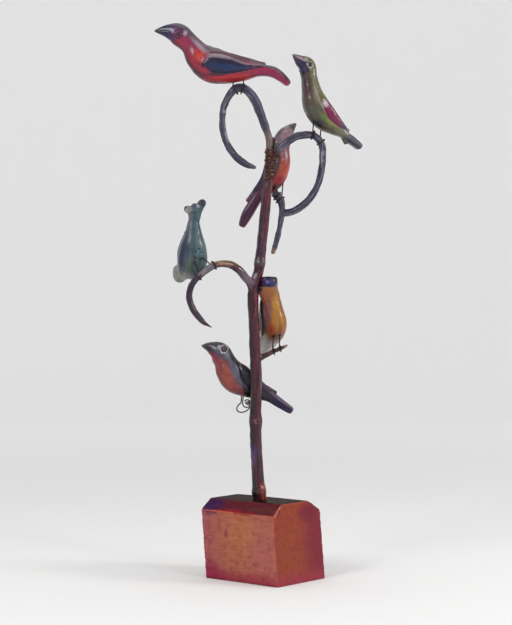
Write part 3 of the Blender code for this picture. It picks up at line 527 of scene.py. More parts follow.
BIRDS = {
    "red_and_black": {
        "place": (-28.6, -17.5, 518.9), "heading": 180.0,
        "body": [(86.0, 53.2, 2.6, 2.4), (73.0, 53.0, 14.4, 10.4), (61.9, 49.6, 23.0, 18.0),
                 (49.5, 38.9, 21.6, 18.6), (40.4, 27.2, 30.2, 23.6), (27.6, 18.2, 37.0, 29.6),
                 (11.4, 14.6, 32.6, 30.6), (-7.3, 13.2, 23.4, 25.0), (-23.9, 12.5, 12.4, 15.6),
                 (-38.5, 9.8, 11.4, 13.8), (-51.0, -0.2, 7.6, 12.6)],
        "wing": [(35.6, 16.6, 6.0), (27.0, 18.2, 18.0), (10.4, 16.4, 17.4), (-4.9, 14.6, 9.0),
                 (-18.0, 15.2, 4.4), (-27.4, 15.6, 2.0)],
        "mantle": [(36.0, 29.4, 4.0), (24.0, 27.6, 7.6), (8.0, 25.2, 8.0), (-8.0, 22.0, 6.4),
                   (-20.0, 20.0, 4.6), (-28.6, 18.9, 2.6)],
        "eye": (61.2, 49.2, 7.0), "neck": 38.0, "branch": TOP_LOOP,
        "legs": [((-31.5, -24.2, 528.0), (-31.0, -18.0, 511.0), 1, 235.0),
                 ((-24.5, -11.0, 528.0), (-24.5, -17.0, 512.5), -1, 235.0)],
    },
    "green": {
        "place": (53.5, -5.0, 473.0), "heading": 200.0,
        "body": [(26.2, 74.6, 3.0, 2.6), (19.5, 69.6, 11.4, 10.5), (11.4, 63.8, 18.3, 17.4),
                 (8.4, 51.8, 16.8, 16.8), (5.8, 38.2, 20.6, 20.4), (1.0, 23.8, 27.2, 26.2),
                 (-8.4, 10.6, 26.4, 26.2), (-20.1, 1.2, 17.4, 20.0), (-31.2, -6.4, 8.6, 13.0),
                 (-39.0, -12.0, 8.6, 12.6), (-47.4, -18.0, 7.4, 12.6)],
        "wing": [(-4.4, 27.5, 5.0), (-7.4, 20.5, 10.5), (-13.2, 12.6, 11.5), (-21.6, 5.4, 8.4),
                 (-28.6, 0.8, 5.0), (-35.6, -2.6, 2.4)],
        "eye": (10.4, 64.2, 6.2), "neck": 50.0, "branch": RIGHT_LOOP,
        "lobe": ((-30.0, -6.5, 7.0), (-32.2, -12.0, 6.0), (-33.4, -16.4, 3.6)),
        "legs": [((50.3, -11.6, 482.0), (50.0, -7.0, 466.0), 1, 400.0),
                 ((58.6, 1.2, 479.0), (58.2, -4.0, 458.4), -1, 400.0)],
    },
    "rose": {
        "place": (17.9, 23.0, 413.6), "heading": 0.0,
        "body": [(14.3, 65.8, 3.0, 2.6), (8.3, 60.2, 11.1, 10.6), (2.7, 53.1, 17.5, 17.4),
                 (-1.6, 43.5, 20.0, 18.6), (-3.9, 34.0, 24.5, 23.0), (-5.0, 23.4, 27.1, 27.0),
                 (-8.4, 11.7, 26.5, 27.0), (-15.8, 0.0, 20.4, 21.2), (-25.5, -11.7, 11.7, 14.9),
                 (-36.6, -29.0, 12.0, 13.8), (-42.2, -40.6, 8.4, 11.0)],
        "wing": [(-6.6, 43.0, 5.0), (-8.6, 34.0, 12.0), (-11.6, 20.0, 14.0), (-18.6, 6.0, 10.5),
                 (-28.4, -5.8, 6.4), (-37.8, -16.4, 3.4)],
        "eye": (3.4, 54.0, 6.4), "eye_cut": 0.15, "neck": 43.5, "branch": TEE_TWIG,
        "legs": [((19.4, 18.4, 424.0), (17.2, 13.5, 400.0), -1, 330.0),
                 ((13.6, 26.0, 424.0), (12.4, 14.0, 403.0), -1, 330.0)],
    },
    "teal": {
        "place": (-75.6, -11.0, 322.0), "heading": -80.0, "cock": 21.0, "swing": -9.0, "tail": ROUND,
        "body": [(12.0, 67.0, 3.0, 2.6), (9.4, 66.0, 8.0, 8.0), (4.6, 63.0, 13.4, 15.0),
                 (2.6, 53.5, 13.2, 12.4), (2.0, 41.0, 18.4, 17.6), (0.6, 27.0, 26.0, 27.0),
                 (-4.2, 12.6, 27.6, 31.0), (-13.0, 3.4, 22.6, 27.0), (-24.0, 0.4, 14.0, 17.0),
                 (-33.0, -0.6, 15.6, 15.0), (-41.0, -1.4, 20.0, 14.0)],
        "knobs": [[(-76.4, -15.0, 384.6, 9.6), (-79.6, -17.0, 386.6, 8.4), (-82.8, -18.0, 387.8, 6.8),
                   (-84.4, -18.4, 388.4, 3.6)],
                  [(-74.4, -16.0, 385.0, 8.0), (-73.8, -16.5, 391.0, 6.8), (-73.8, -16.8, 393.2, 3.6)],
                  [(-71.4, -15.5, 384.0, 10.0), (-68.4, -17.5, 389.6, 9.0), (-65.2, -20.0, 394.4, 8.0),
                   (-64.0, -21.0, 396.4, 4.4)]],
        "wing": [(-3.6, 42.0, 5.0), (-6.6, 32.0, 12.0), (-11.6, 18.0, 15.0), (-20.0, 7.6, 11.0),
                 (-28.6, 0.6, 6.0), (-36.0, -3.6, 2.6)],
        "eye": (4.6, 66.0, 6.6), "neck": 50.0, "branch": LEFT_FORK,
        "legs": [((-77.6, -18.0, 343.0), (-69.0, -31.0, 317.4), 1, 330.0),
                 ((-70.0, -17.0, 340.0), (-54.0, -30.0, 329.0), 1, 330.0)],
    },
    "yellow": {
        "place": (15.2, 16.0, 244.5), "heading": -62.0, "roll": 14.8, "cock": 12.0, "swing": -7.0,
        "body": [(13.0, 68.0, 3.0, 2.6), (10.4, 67.0, 9.0, 9.0), (5.4, 64.4, 15.0, 15.0),
                 (3.4, 54.6, 19.6, 20.0), (2.4, 40.0, 22.6, 21.6), (0.8, 26.0, 26.0, 24.6),
                 (-6.0, 14.6, 22.6, 23.0), (-16.0, 5.4, 15.6, 17.0), (-26.0, -2.0, 11.0, 13.6),
                 (-34.0, -7.0, 9.0, 13.0), (-42.0, -12.6, 7.4, 12.6)],
        "knobs": [[(3.6, 3.4, 292.0, 15.0), (2.9, 3.2, 300.0, 20.2), (2.7, 3.2, 308.0, 20.6),
                   (2.8, 3.4, 314.6, 19.8), (2.8, 3.5, 316.8, 17.8)],
                  [(2.4, -3.0, 310.6, 8.0), (2.0, -8.6, 311.4, 5.0)],
                  [(-3.0, 4.0, 295.0, 4.0), (-3.2, 5.0, 288.0, 6.0), (-1.6, 6.0, 276.0, 7.0),
                   (-1.0, 7.0, 266.0, 6.0), (-2.6, 8.0, 258.0, 3.6), (-3.4, 8.4, 254.6, 2.0)]],
        "wing": [(-1.4, 46.0, 5.0), (-4.4, 37.0, 12.0), (-8.6, 24.0, 13.0), (-14.6, 13.6, 9.0),
                 (-21.6, 6.0, 5.0), (-27.6, 0.6, 2.6)],
        "eye": (5.0, 65.6, 6.6), "neck": 50.0, "branch": RIGHT_STUB,
        "legs": [((8.4, 8.4, 256.0), (8.0, 3.2, 238.2), 1, 400.0),
                 ((15.4, 10.0, 256.0), (15.2, 4.5, 241.2), 1, 400.0)],
    },
    "robin": {
        "place": (-23.7, 24.0, 190.1), "heading": 180.0,
        "body": [(43.1, 53.7, 3.4, 3.0), (34.6, 51.9, 12.8, 11.7), (25.2, 46.8, 22.3, 19.1),
                 (19.7, 37.7, 23.4, 20.2), (14.9, 28.2, 29.4, 25.5), (7.4, 19.0, 32.2, 29.4),
                 (-4.3, 12.8, 28.2, 27.6), (-16.5, 6.4, 20.8, 21.3), (-28.2, 0.2, 12.8, 15.4),
                 (-37.7, -6.4, 10.8, 14.9), (-50.0, -14.4, 8.4, 14.0)],
        "wing": [(3.6, 34.0, 5.0), (-0.4, 27.0, 12.0), (-6.6, 18.8, 14.6), (-16.0, 11.6, 11.0),
                 (-26.2, 7.4, 6.4), (-35.6, 3.4, 3.6)],
        "eye": (19.9, 50.5, 6.6), "neck": 38.0, "branch": BACK_STUB,
        "legs": [[(-25.4, 19.0, 200.0), (-25.4, 19.0, 187.4), (-26.2, 18.8, 183.4), (-29.6, 18.6, 179.6),
                  (-30.0, 18.4, 175.6), (-26.4, 18.2, 173.4), (-21.0, 18.2, 174.4), (-17.2, 18.4, 177.6),
                  (-15.4, 18.6, 182.4), (-16.8, 18.8, 185.8), (-19.6, 19.0, 186.6), (-22.0, 19.2, 185.4)],
                 [(-22.2, 24.0, 200.0), (-23.8, 24.0, 187.0), (-24.2, 23.8, 183.0), (-23.0, 23.6, 179.6),
                  (-20.0, 23.4, 178.2), (-16.8, 23.4, 179.6), (-16.2, 23.6, 183.0), (-17.8, 23.8, 185.8),
                  (-20.2, 24.0, 186.4)]],
    },
}
BIRDS = {name: {**STRAIGHT, **bird} for name, bird in BIRDS.items()}
print("birds:", ", ".join(BIRDS))

# %% [markdown]
# A cross-section is a little squarer than an ellipse, as a whittled body is, and squarer still
# along the flat tail. The sections lie square to the middle line, which bends in the bird's own
# plane. Some birds tip their heads and swing their tails; that is done to the finished points,
# and it can be undone again, so that the paint can be laid on a straight bird.

# %% Cross-sections
TAIL_FROM = 8
BODY_SIDES = 44
BODY_PARTS = 8


def section(deep, wide, square, sides):
    """Points of one cross-section as (left, up)."""
    out = []
    for k in range(sides):
        c = math.cos(2 * math.pi * (k + 0.5) / sides)
        s = math.sin(2 * math.pi * (k + 0.5) / sides)
        out.append((math.copysign(abs(c) ** (2 / square), c) * wide / 2,
                    math.copysign(abs(s) ** (2 / square), s) * deep / 2))
    return out


def body_rows(bird):
    """Forward, up, depth, width, squareness and number of each of the body's cross-sections."""
    listed = [(f, u, deep, wide, bird.get("tail", FLAT) if i >= TAIL_FROM else ROUND, float(i))
              for i, (f, u, deep, wide) in enumerate(bird["body"])]
    last = len(listed) - 1
    out = []
    for i in range(last):
        group = [listed[max(i - 1, 0)], listed[i], listed[i + 1], listed[min(i + 2, last)]]
        out += [blend_rows(*group, k / BODY_PARTS) for k in range(BODY_PARTS)]
    out.append(listed[-1])
    return out


def heading_at(rows, i):
    """The direction in the bird's middle plane in which row i runs, as (forward, up)."""
    a, b = rows[max(i - 1, 0)], rows[min(i + 1, len(rows) - 1)]
    return Vector((b[0] - a[0], b[1] - a[1])).normalized()


def flank(rows, forward, up):
    """How far the body's skin is from the middle plane beside a point of that plane."""
    best = None
    for i, row in enumerate(rows):
        ahead = heading_at(rows, i)
        offset = Vector((forward - row[0], up - row[1]))
        along = abs(offset.dot(ahead))
        if best is None or along < best[0]:
            drop = abs(offset.x * ahead.y - offset.y * ahead.x) / (row[2] / 2)
            if drop < 1.3:
                best = (along, row[3] / 2 * max(0.05, 1 - min(drop, 0.98) ** row[4]) ** (1 / row[4]))
    return best[1]


# %% Posing a bird
def posed(bird, point):
    """Tip the head to one side above the neck, and swing the tail to one side."""
    forward, left, up = point
    top = bird["eye"][1]
    share = min(max((up - bird["neck"]) / (top - bird["neck"]), 0.0), 1.0)
    turn = math.radians(bird["cock"]) * share * share * (3 - 2 * share)
    rise = up - top
    aside = bird["swing"] * (max(0.0, -forward) / -bird["body"][-1][0]) ** 2
    return Vector((forward, aside + left * math.cos(turn) - rise * math.sin(turn),
                   top + left * math.sin(turn) + rise * math.cos(turn)))


def straightened(bird, points):
    """Where each point of a posed bird sits on the straight one."""
    forward = points[:, 0]
    left = points[:, 1] - bird["swing"] * (np.maximum(0.0, -forward) / -bird["body"][-1][0]) ** 2
    top = bird["eye"][1]
    rise = points[:, 2] - top
    flat_left, flat_up = left, points[:, 2]
    for _ in range(8):
        share = np.clip((flat_up - bird["neck"]) / (top - bird["neck"]), 0.0, 1.0)
        turn = math.radians(bird["cock"]) * share * share * (3 - 2 * share)
        flat_left = left * np.cos(turn) + rise * np.sin(turn)
        flat_up = top - left * np.sin(turn) + rise * np.cos(turn)
    return np.stack([forward, flat_left, flat_up], axis=1)


def bird_matrix(bird):
    """From a bird's own forward, left and up to the tree's frame, both in millimetres."""
    turn = Matrix.Rotation(math.radians(bird["heading"]), 4, "Z")
    roll = Matrix.Rotation(math.radians(bird["roll"]), 4, "X")
    return Matrix.Translation(bird["place"]) @ turn @ roll


# %% [markdown]
# Now the parts themselves. Each of these functions draws one of them as a closed skin, on the
# straight bird where that is simplest, and hands it on already posed. They overlap each other
# a little, because the remeshing that joins them needs to find wood all the way through.

# %% Parts of a bird
BILL_TIP = 1.6
WING_SIDES = 20
WING_STEP = 2.0
WING_THICK = 6.0
WING_EDGE = 1.6
WING_SLOPE = 0.4
PROUD = {"wing": 1.7, "mantle": 0.9}   # how far each leaf stands out of the flank
WING_NEAREST = 2.2
TAIL_ROUND = [(1.2, 0.94), (2.4, 0.78), (3.2, 0.5)]   # how far on, and how much of the last section
EYE_PROUD = 1.5
EYE_SUNK = 1.0


def swept(bird, rows, rings_of, start=None, end=None):
    """A skin through cross-sections set square to a middle line in the bird's plane."""
    rings = []
    for i, row in enumerate(rows):
        ahead = heading_at(rows, i)
        rings.append([posed(bird, (row[0] + ahead.y * rise, left, row[1] - ahead.x * rise))
                      for left, rise in rings_of(row)])
    return skin("swept", rings, start, end)


def body_mesh(bird, rows):
    """Bill, head, body and tail as one skin."""
    nose = heading_at(rows, 0)
    tip = posed(bird, (rows[0][0] - nose.x * BILL_TIP, 0.0, rows[0][1] - nose.y * BILL_TIP))
    f, u, deep, wide, square = rows[-1][:5]
    back = heading_at(rows, len(rows) - 1)
    rounded = [(f + back.x * on, u + back.y * on, deep * share, wide * share, square)
               for on, share in TAIL_ROUND]
    return swept(bird, rows + rounded, lambda row: section(row[2], row[3], row[4], BODY_SIDES), tip)


def wing_rows(leaf):
    """Forward, up, nothing, depth and number of each of a wing's cross-sections."""
    return smooth([(f, u, 0.0, chord, float(i)) for i, (f, u, chord) in enumerate(leaf)], WING_STEP)


def leaf_mesh(bird, rows, side, leaf):
    """A leaf of wood, a wing or the mantle over it, that lies on the flank and ends in a free tip."""
    def ring(row):
        thick = min(WING_THICK, WING_EDGE + WING_SLOPE * row[3])
        out = max(flank(rows, row[0], row[1]) - thick / 2 + PROUD[leaf], WING_NEAREST)
        return [(side * (out + left), rise) for left, rise in section(row[3], thick, ROUND, WING_SIDES)]
    return swept(bird, wing_rows(bird[leaf]), ring)


def eye_mesh(bird, rows, side):
    """A low dome on the side of the head."""
    forward, up, wide = bird["eye"]
    out = flank(rows, forward, up)
    bm = bmesh.new()
    bmesh.ops.create_uvsphere(bm, u_segments=24, v_segments=16, radius=wide / 2)
    squash = 2 * (EYE_PROUD + EYE_SUNK) / wide
    for vert in bm.verts:
        vert.co = posed(bird, (forward + vert.co.x, side * (out - EYE_SUNK + vert.co.z * squash),
                               up + vert.co.y))
    bmesh.ops.recalc_face_normals(bm, faces=bm.faces)
    mesh = bpy.data.meshes.new("eye")
    bm.to_mesh(mesh)
    bm.free()
    return mesh


def knob_mesh(bird, knob):
    """A knob on the head, drawn in the tree's frame as it was seen from the front."""
    mesh = tube("knob", spine(knob), tips=(0.1, 0.1))
    mesh.transform(bird_matrix(bird).inverted())
    return mesh


def lobe_mesh(bird):
    """The small lobe under the tail's root."""
    return swept(bird, smooth(bird["lobe"], 1.5),
                 lambda row: section(row[2], row[2] * 1.3, ROUND, WING_SIDES))


# %% [markdown]
# Paint needs to know where it is on the bird. Three sets of coordinates are stored on every
# point: the place on the straightened bird, the place on the body counted in cross-sections
# from the bill, and the place on the wing counted along its middle line. With them a painted
# border can follow a neck or a wing exactly as a brush did.

# %% Coordinates for the paint
OFF_WING = 30.0


def counted(rows, flat, slack):
    """For each point: the number of its cross-section, its rise above the middle line, and its gap."""
    centres = np.array([row[:2] for row in rows])
    ways = np.array([heading_at(rows, i) for i in range(len(rows))])
    numbers = np.array([row[-1] for row in rows])
    away = flat[:, None, [0, 2]] - centres[None]
    along = (away * ways[None]).sum(axis=2)
    rise = away[..., 0] * ways[None, :, 1] - away[..., 1] * ways[None, :, 0]
    best = np.argmin(np.abs(along) + slack * np.abs(rise), axis=1)
    pick = np.arange(len(flat))
    return numbers[best], rise[pick, best], np.abs(along[pick, best]), best


def bird_coordinates(bird, rows, flat):
    """The girth and wing coordinates of every point."""
    number, rise, gap, best = counted(rows, flat, 0.25)
    deep = np.array([row[2] for row in rows])[best]
    wide = np.array([row[3] for row in rows])[best]
    girth = np.stack([number, 20 * flat[:, 1] / wide, 20 * rise / deep], axis=1)
    leaf = wing_rows(bird["wing"])
    number, rise, gap, best = counted(leaf, flat, 0.0)
    across = 20 * rise / np.array([row[3] for row in leaf])[best]
    on_wing = (np.abs(across) < 11.0) & (gap < WING_STEP)
    wing = np.stack([number, np.sign(flat[:, 1]), np.where(on_wing, across, OFF_WING)], axis=1)
    return girth, wing


# %% [markdown]
# The knife work. Every bird gets the soft facets of whittling, and the four without knobs on their heads also
# get a bead and a ring for each eye and a slit along the bill. Two birds carry damage that the photograph
# shows: ragged wood under the belly of the rose bird, and pits in the breast of the teal one.

# %% Knife work
BEAD = 1.9
RING_GROOVE = 2.5
RING = 3.3
PITS = [(-68.6, 345.5, 1.5), (-66.7, 341.8, 1.2), (-72.3, 342.8, 1.1), (-67.2, 335.4, 1.5),
        (-72.8, 336.3, 1.5)]


def eye_relief(bird, flat):
    """A bead in a groove in a ring, round each eye."""
    gap = np.hypot(flat[:, 0] - bird["eye"][0], flat[:, 2] - bird["eye"][1])
    relief = 0.6 * bell(gap, BEAD * 0.8) - 0.65 * bell(gap - RING_GROOVE, 0.5)
    relief += 0.45 * bell(gap - RING, 0.5) - 0.45 * bell(gap - RING - 1.2, 0.55)
    relief *= bird.get("eye_cut", 1.0)
    return np.where((np.abs(flat[:, 1]) > 3.0) & ("knobs" not in bird), relief, 0.0)


def carve_bird(name, bird, flat, girth, in_tree):
    """Millimetres by which each point of the bird is moved."""
    amount = 0.20 * lumps(flat, 8.0, 41.0) + 0.08 * lumps(flat, 2.6, 43.0)
    amount += eye_relief(bird, flat)
    slit = bell(girth[:, 2] + 0.8, 0.7) * np.clip((1.25 - girth[:, 0]) * 3.0, 0.0, 1.0)
    amount -= 0.25 * slit * ("knobs" not in bird)
    if name == "rose":
        torn = np.clip(1.3 - np.hypot((flat[:, 0] + 3.0) / 8.0, (flat[:, 2] - 2.0) / 7.0), 0.0, 1.0)
        amount += torn * 0.9 * lumps(flat, 1.6, 47.0)
    if name == "teal":
        for right, up, size in PITS:
            gap = np.hypot(in_tree[:, 0] - right, in_tree[:, 2] - up)
            front = in_tree[:, 1] < bird["place"][1] - 2.0
            amount -= np.where(front, 0.9 * bell(gap, size * 0.8), 0.0)
    return amount


# %% [markdown]
# One function puts a bird together: it joins the parts, carves the skin, stores the coordinates
# for the paint, and sets the bird on its branch. The same function makes all six.

# %% Make the birds
BIRD_VOXEL = 0.65


def make_bird(name, bird):
    """One whittled bird with all that its paint needs to know."""
    rows = body_rows(bird)
    meshes = [body_mesh(bird, rows)] + [knob_mesh(bird, knob) for knob in bird.get("knobs", ())]
    meshes += [leaf_mesh(bird, rows, side, leaf) for leaf in PROUD if leaf in bird for side in (-1, 1)]
    if "knobs" not in bird:
        meshes += [eye_mesh(bird, rows, side) for side in (-1, 1)]
    if "lobe" in bird:
        meshes.append(lobe_mesh(bird))
    obj = fused("painted_bird_" + name, meshes, BIRD_VOXEL, 2)
    mesh = obj.data
    flat = straightened(bird, points_of(mesh))
    girth, wing = bird_coordinates(bird, rows, flat)
    mesh.transform(bird_matrix(bird))
    in_tree = points_of(mesh)
    push(mesh, carve_bird(name, bird, flat, girth, in_tree))
    for label, values in (("body", flat), ("girth", girth), ("wing", wing), ("tree", in_tree)):
        keep(mesh, label, values)
    keep(mesh, "crest", crest_of(mesh, 5))
    mesh.transform(TREE)
    mesh.shade_smooth()
    print(obj.name, len(mesh.polygons), "faces")
    return obj


birds = {name: make_bird(name, bird) for name, bird in BIRDS.items()}

# %% [markdown]
# Wire. The two twigs are bound to the trunk's tip by close turns of wire, drawn tight round all
# three. At each height the wire touches whichever member lies furthest out, and it runs straight
# from one to the next, just as a string does round a bundle of pencils. A few loose turns cross
# back over the others.

# %% Wire helper
WIRE_SIDES = 10


def wire_mesh(name, points, thick, step=0.0):
    """A round wire along a row of points, through a smooth curve where a step is given."""
    rows = [(*p, thick) for p in points]
    line = middle_line(smooth(rows, step) if step else rows)
    return tube(name, line, WIRE_SIDES, tips=(0.3, 0.3))


def joined(name, meshes):
    """One object with all the meshes in it, as separate closed shells."""
    bm = bmesh.new()
    for mesh in meshes:
        bm.from_mesh(mesh)
    mesh = bpy.data.meshes.new(name)
    bm.to_mesh(mesh)
    bm.free()
    keep(mesh, "tree", points_of(mesh))
    mesh.transform(TREE)
    mesh.shade_smooth()
    obj = bpy.data.objects.new(name, mesh)
    bpy.context.scene.collection.objects.link(obj)
    print(name, len(mesh.polygons), "faces")
    return obj


# %% Binding
BINDING_FOOT = 419.0
BINDING_TOP = 450.5
BINDING_WIRE = 1.15
BINDING_PITCH = 1.3
TURN_STEPS = 36
BUTT_TAPER = 0.4
MEMBERS = [smooth(rows, BRANCH_STEP) for rows in (TRUNK[12:], TOP_LOOP[:6], RIGHT_LOOP[:5])]


def member_at(rows, up):
    """Centre and radius of a bound member at one height, thinning away below its butt."""
    if up < rows[0][2]:
        return Vector(rows[0][:2]), max(0.2, rows[0][3] / 2 - (rows[0][2] - up) * BUTT_TAPER)
    for a, b in zip(rows, rows[1:]):
        if a[2] <= up <= b[2]:
            t = (up - a[2]) / (b[2] - a[2])
            return Vector(a[:2]).lerp(Vector(b[:2]), t), (a[3] + (b[3] - a[3]) * t) / 2
    return Vector(rows[-1][:2]), rows[-1][3] / 2


def winding(foot, top, pitch, layer, phase):
    """Points of a wire wound round the bundle from one height to another."""
    count = round(abs(top - foot) / pitch * TURN_STEPS)
    out = []
    for k in range(count + 1):
        up = foot + (top - foot) * k / count
        angle = phase + 2 * math.pi * k / TURN_STEPS
        way = Vector((math.cos(angle), math.sin(angle)))
        bundle = MEMBERS if up < RIGHT_LOOP[2][2] else MEMBERS[:2]
        centre, radius = max((member_at(rows, up) for rows in bundle), key=lambda m: m[0].dot(way) + m[1])
        spread = 0.12 * math.sin(5.1 * angle / math.pi)
        reach = radius + BINDING_WIRE * (0.5 + layer) + 0.1
        out.append(Vector((*(centre + way * reach), up + spread)))
    return out


coils = [winding(BINDING_FOOT, BINDING_TOP, BINDING_PITCH, 0.0, 0.4),
         winding(BINDING_TOP - 1.5, BINDING_FOOT + 5.0, 8.6, 0.8, 2.0),
         winding(BINDING_FOOT + 8.0, BINDING_TOP - 9.0, 6.4, 0.8, 4.4)]
binding = joined("wound_binding", [wire_mesh("coil", points, BINDING_WIRE) for points in coils])

# %% [markdown]
# Each leg is a straight length of wire that comes out of a hole in the belly and is wrapped
# round the perch. Its route is worked out from the branch: the nearest place on the middle line
# gives a centre, an axis and a radius, and the turns are drawn round those.

# %% Legs
LEG_WIRE = 1.3
LEG_BEND = 12.0
LEG_SLACK = 0.35
LEG_PITCH = 1.5
LEG_STEP = 0.9


def grip(branch, near):
    """Centre, direction and radius of a branch where it passes closest to a point."""
    rows = smooth(branch, 2.0)
    i = min(range(1, len(rows) - 1), key=lambda k: math.dist(rows[k][:3], near))
    axis = (Vector(rows[i + 1][:3]) - Vector(rows[i - 1][:3])).normalized()
    return Vector(rows[i][:3]), axis, rows[i][3] / 2


def leg_points(bird, leg):
    """The leg's wire: straight out of its hole, then round the branch that it holds."""
    if isinstance(leg, list):
        return [Vector(row) for row in leg]
    socket, near, hand, sweep = leg
    centre, axis, radius = grip(bird["branch"], near)
    reach = radius + LEG_WIRE / 2 + LEG_SLACK
    toward = Vector(socket) - centre
    toward -= axis * toward.dot(axis)
    first = toward.normalized()
    second = axis.cross(first)
    start = hand * math.acos(min(0.99, reach / toward.length))
    points = [Vector(socket)]
    count = round(sweep / LEG_BEND)
    for k in range(count + 1):
        angle = start + hand * math.radians(sweep) * k / count
        shift = axis * LEG_WIRE * LEG_PITCH * hand * sweep / 360.0 * (k / count - 0.5)
        points.append(centre + (first * math.cos(angle) + second * math.sin(angle)) * reach + shift)
    points.insert(1, points[0].lerp(points[1], 0.9))
    return points


legs = {}
for name, bird in BIRDS.items():
    for leg, side in zip(bird["legs"], ("near", "far")):
        piece = joined("wire_leg_" + name + "_" + side,
                       [wire_mesh("leg", leg_points(bird, leg), LEG_WIRE, LEG_STEP)])
        legs["leg_" + name + "_" + side] = piece

# %% [markdown]
# Paint. A material in Blender is a small diagram of nodes. Three helpers keep such a diagram
# readable as code: one adds a node and feeds its inputs, one starts a group with named sockets,
# and one places a group in a diagram. Colours are written as they are seen in the photograph,
# from 0 to 255, and turned into the linear values that the shader reckons with.

# %% Node helpers
LIT = 1.38        # how brightly the studio lights the rounds of the tree and the birds
BLOCK_LIT = 1.0   # and the block, which stands low and turned away
SHEEN = 0.009     # the light that the varnish adds everywhere


def seen(red, green, blue, lit=LIT):
    """The paint that looks like a colour from 0 to 255 under this studio's light."""
    out = []
    for level in (red, green, blue):
        level /= 255.0
        linear = level / 12.92 if level <= 0.04045 else ((level + 0.055) / 1.055) ** 2.4
        out.append(max(linear - SHEEN, 0.12 * linear) / lit)
    return tuple(out)


def feed(tree, socket, value):
    """Give an input a number, a colour, a vector or another node's output."""
    if isinstance(value, bpy.types.NodeSocket):
        tree.links.new(value, socket)
    elif socket.type == "RGBA" and len(value) == 3:
        socket.default_value = (*value, 1.0)
    else:
        socket.default_value = value


def put(tree, kind, *values, **settings):
    """Add a node, make its settings and feed its first inputs."""
    node = tree.nodes.new("ShaderNode" + kind)
    for setting, value in settings.items():
        setattr(node, setting, value)
    for socket, value in zip(node.inputs, values):
        if value is not None:
            feed(tree, socket, value)
    return node


def sums(tree, operation, a, b=None):
    """The result of a Math node."""
    return put(tree, "Math", a, b, operation=operation).outputs[0]


def times(tree, a, b):
    """Two numbers multiplied."""
    return sums(tree, "MULTIPLY", a, b)


def plus(tree, a, b):
    """Two numbers added."""
    return sums(tree, "ADD", a, b)


def scaled(tree, vector, factor):
    """A vector or a colour times a number."""
    node = put(tree, "VectorMath", vector, operation="SCALE")
    feed(tree, node.inputs["Scale"], factor)
    return node.outputs[0]


def stretched(tree, vector, factors):
    """A vector times another, part by part."""
    return put(tree, "VectorMath", vector, factors, operation="MULTIPLY").outputs[0]


def ramp(tree, value, low, high, to_low=0.0, to_high=1.0):
    """A soft step from one value to another as the input goes from low to high."""
    return put(tree, "MapRange", value, low, high, to_low, to_high,
               interpolation_type="SMOOTHSTEP").outputs[0]


def clouds(tree, place, size, detail=3.0, rough=0.5):
    """Noise from 0 to 1 with clouds of a size, in the units of the place."""
    node = put(tree, "TexNoise")
    for label, value in (("Vector", place), ("Scale", 1.0 / size), ("Detail", detail), ("Roughness", rough)):
        feed(tree, node.inputs[label], value)
    return node


def mixed(tree, factor, under, over, way="MIX"):
    """One colour over another."""
    node = put(tree, "Mix", data_type="RGBA", blend_type=way)
    for index, value in ((0, factor), (6, under), (7, over)):
        feed(tree, node.inputs[index], value)
    return node.outputs[2]


def node_group(name, inputs, outputs):
    """An empty group, what comes into it and what goes out of it."""
    group = bpy.data.node_groups.new(name, "ShaderNodeTree")
    for label, kind, value in inputs:
        socket = group.interface.new_socket(label, in_out="INPUT", socket_type="NodeSocket" + kind)
        socket.default_value = value
    for label, kind in outputs:
        group.interface.new_socket(label, in_out="OUTPUT", socket_type="NodeSocket" + kind)
    return group, group.nodes.new("NodeGroupInput").outputs, group.nodes.new("NodeGroupOutput").inputs


def use(tree, group, **values):
    """Place a group in a diagram; a socket's name is given with _ for each space."""
    node = tree.nodes.new("ShaderNodeGroup")
    node.node_tree = group
    for label, value in values.items():
        feed(tree, node.inputs[label.replace("_", " ")], value)
    return node


def stored(tree, name):
    """What was kept on the points under a name, as (vector, number)."""
    node = put(tree, "Attribute", attribute_name=name)
    return node.outputs["Vector"], node.outputs["Fac"]


# %% [markdown]
# A brush never follows a ruled line. This group shakes a place by a smooth noise, and every
# border that is drawn with the shaken place comes out hand-made.

# %% Group: Hand Wobble
WHITE = (1.0, 1.0, 1.0, 1.0)
hand_wobble, come, go = node_group(
    "Hand Wobble", [("Place", "Vector", (0, 0, 0)), ("Amount", "Float", 1.0), ("Size", "Float", 4.0)],
    [("Place", "Vector")])
tree = hand_wobble
small = scaled(tree, come["Place"], sums(tree, "DIVIDE", 1.0, come["Size"]))
shake = clouds(tree, small, 1.0, 2.0).outputs["Color"]
shake = put(tree, "VectorMath", shake, (0.5, 0.5, 0.5), operation="SUBTRACT").outputs[0]
shake = scaled(tree, shake, times(tree, come["Amount"], 2.0))
tree.links.new(put(tree, "VectorMath", come["Place"], shake, operation="ADD").outputs[0],
                      go["Place"])
print("made", hand_wobble.name)

# %% [markdown]
# Most of the paint is a patch of one colour over another: a breast, a wing, a ring round an
# eye. This group lays one rounded patch. It knows its centre, its half sizes, its tilt and how
# soft its border is, and it hands on both the colour and its mask.

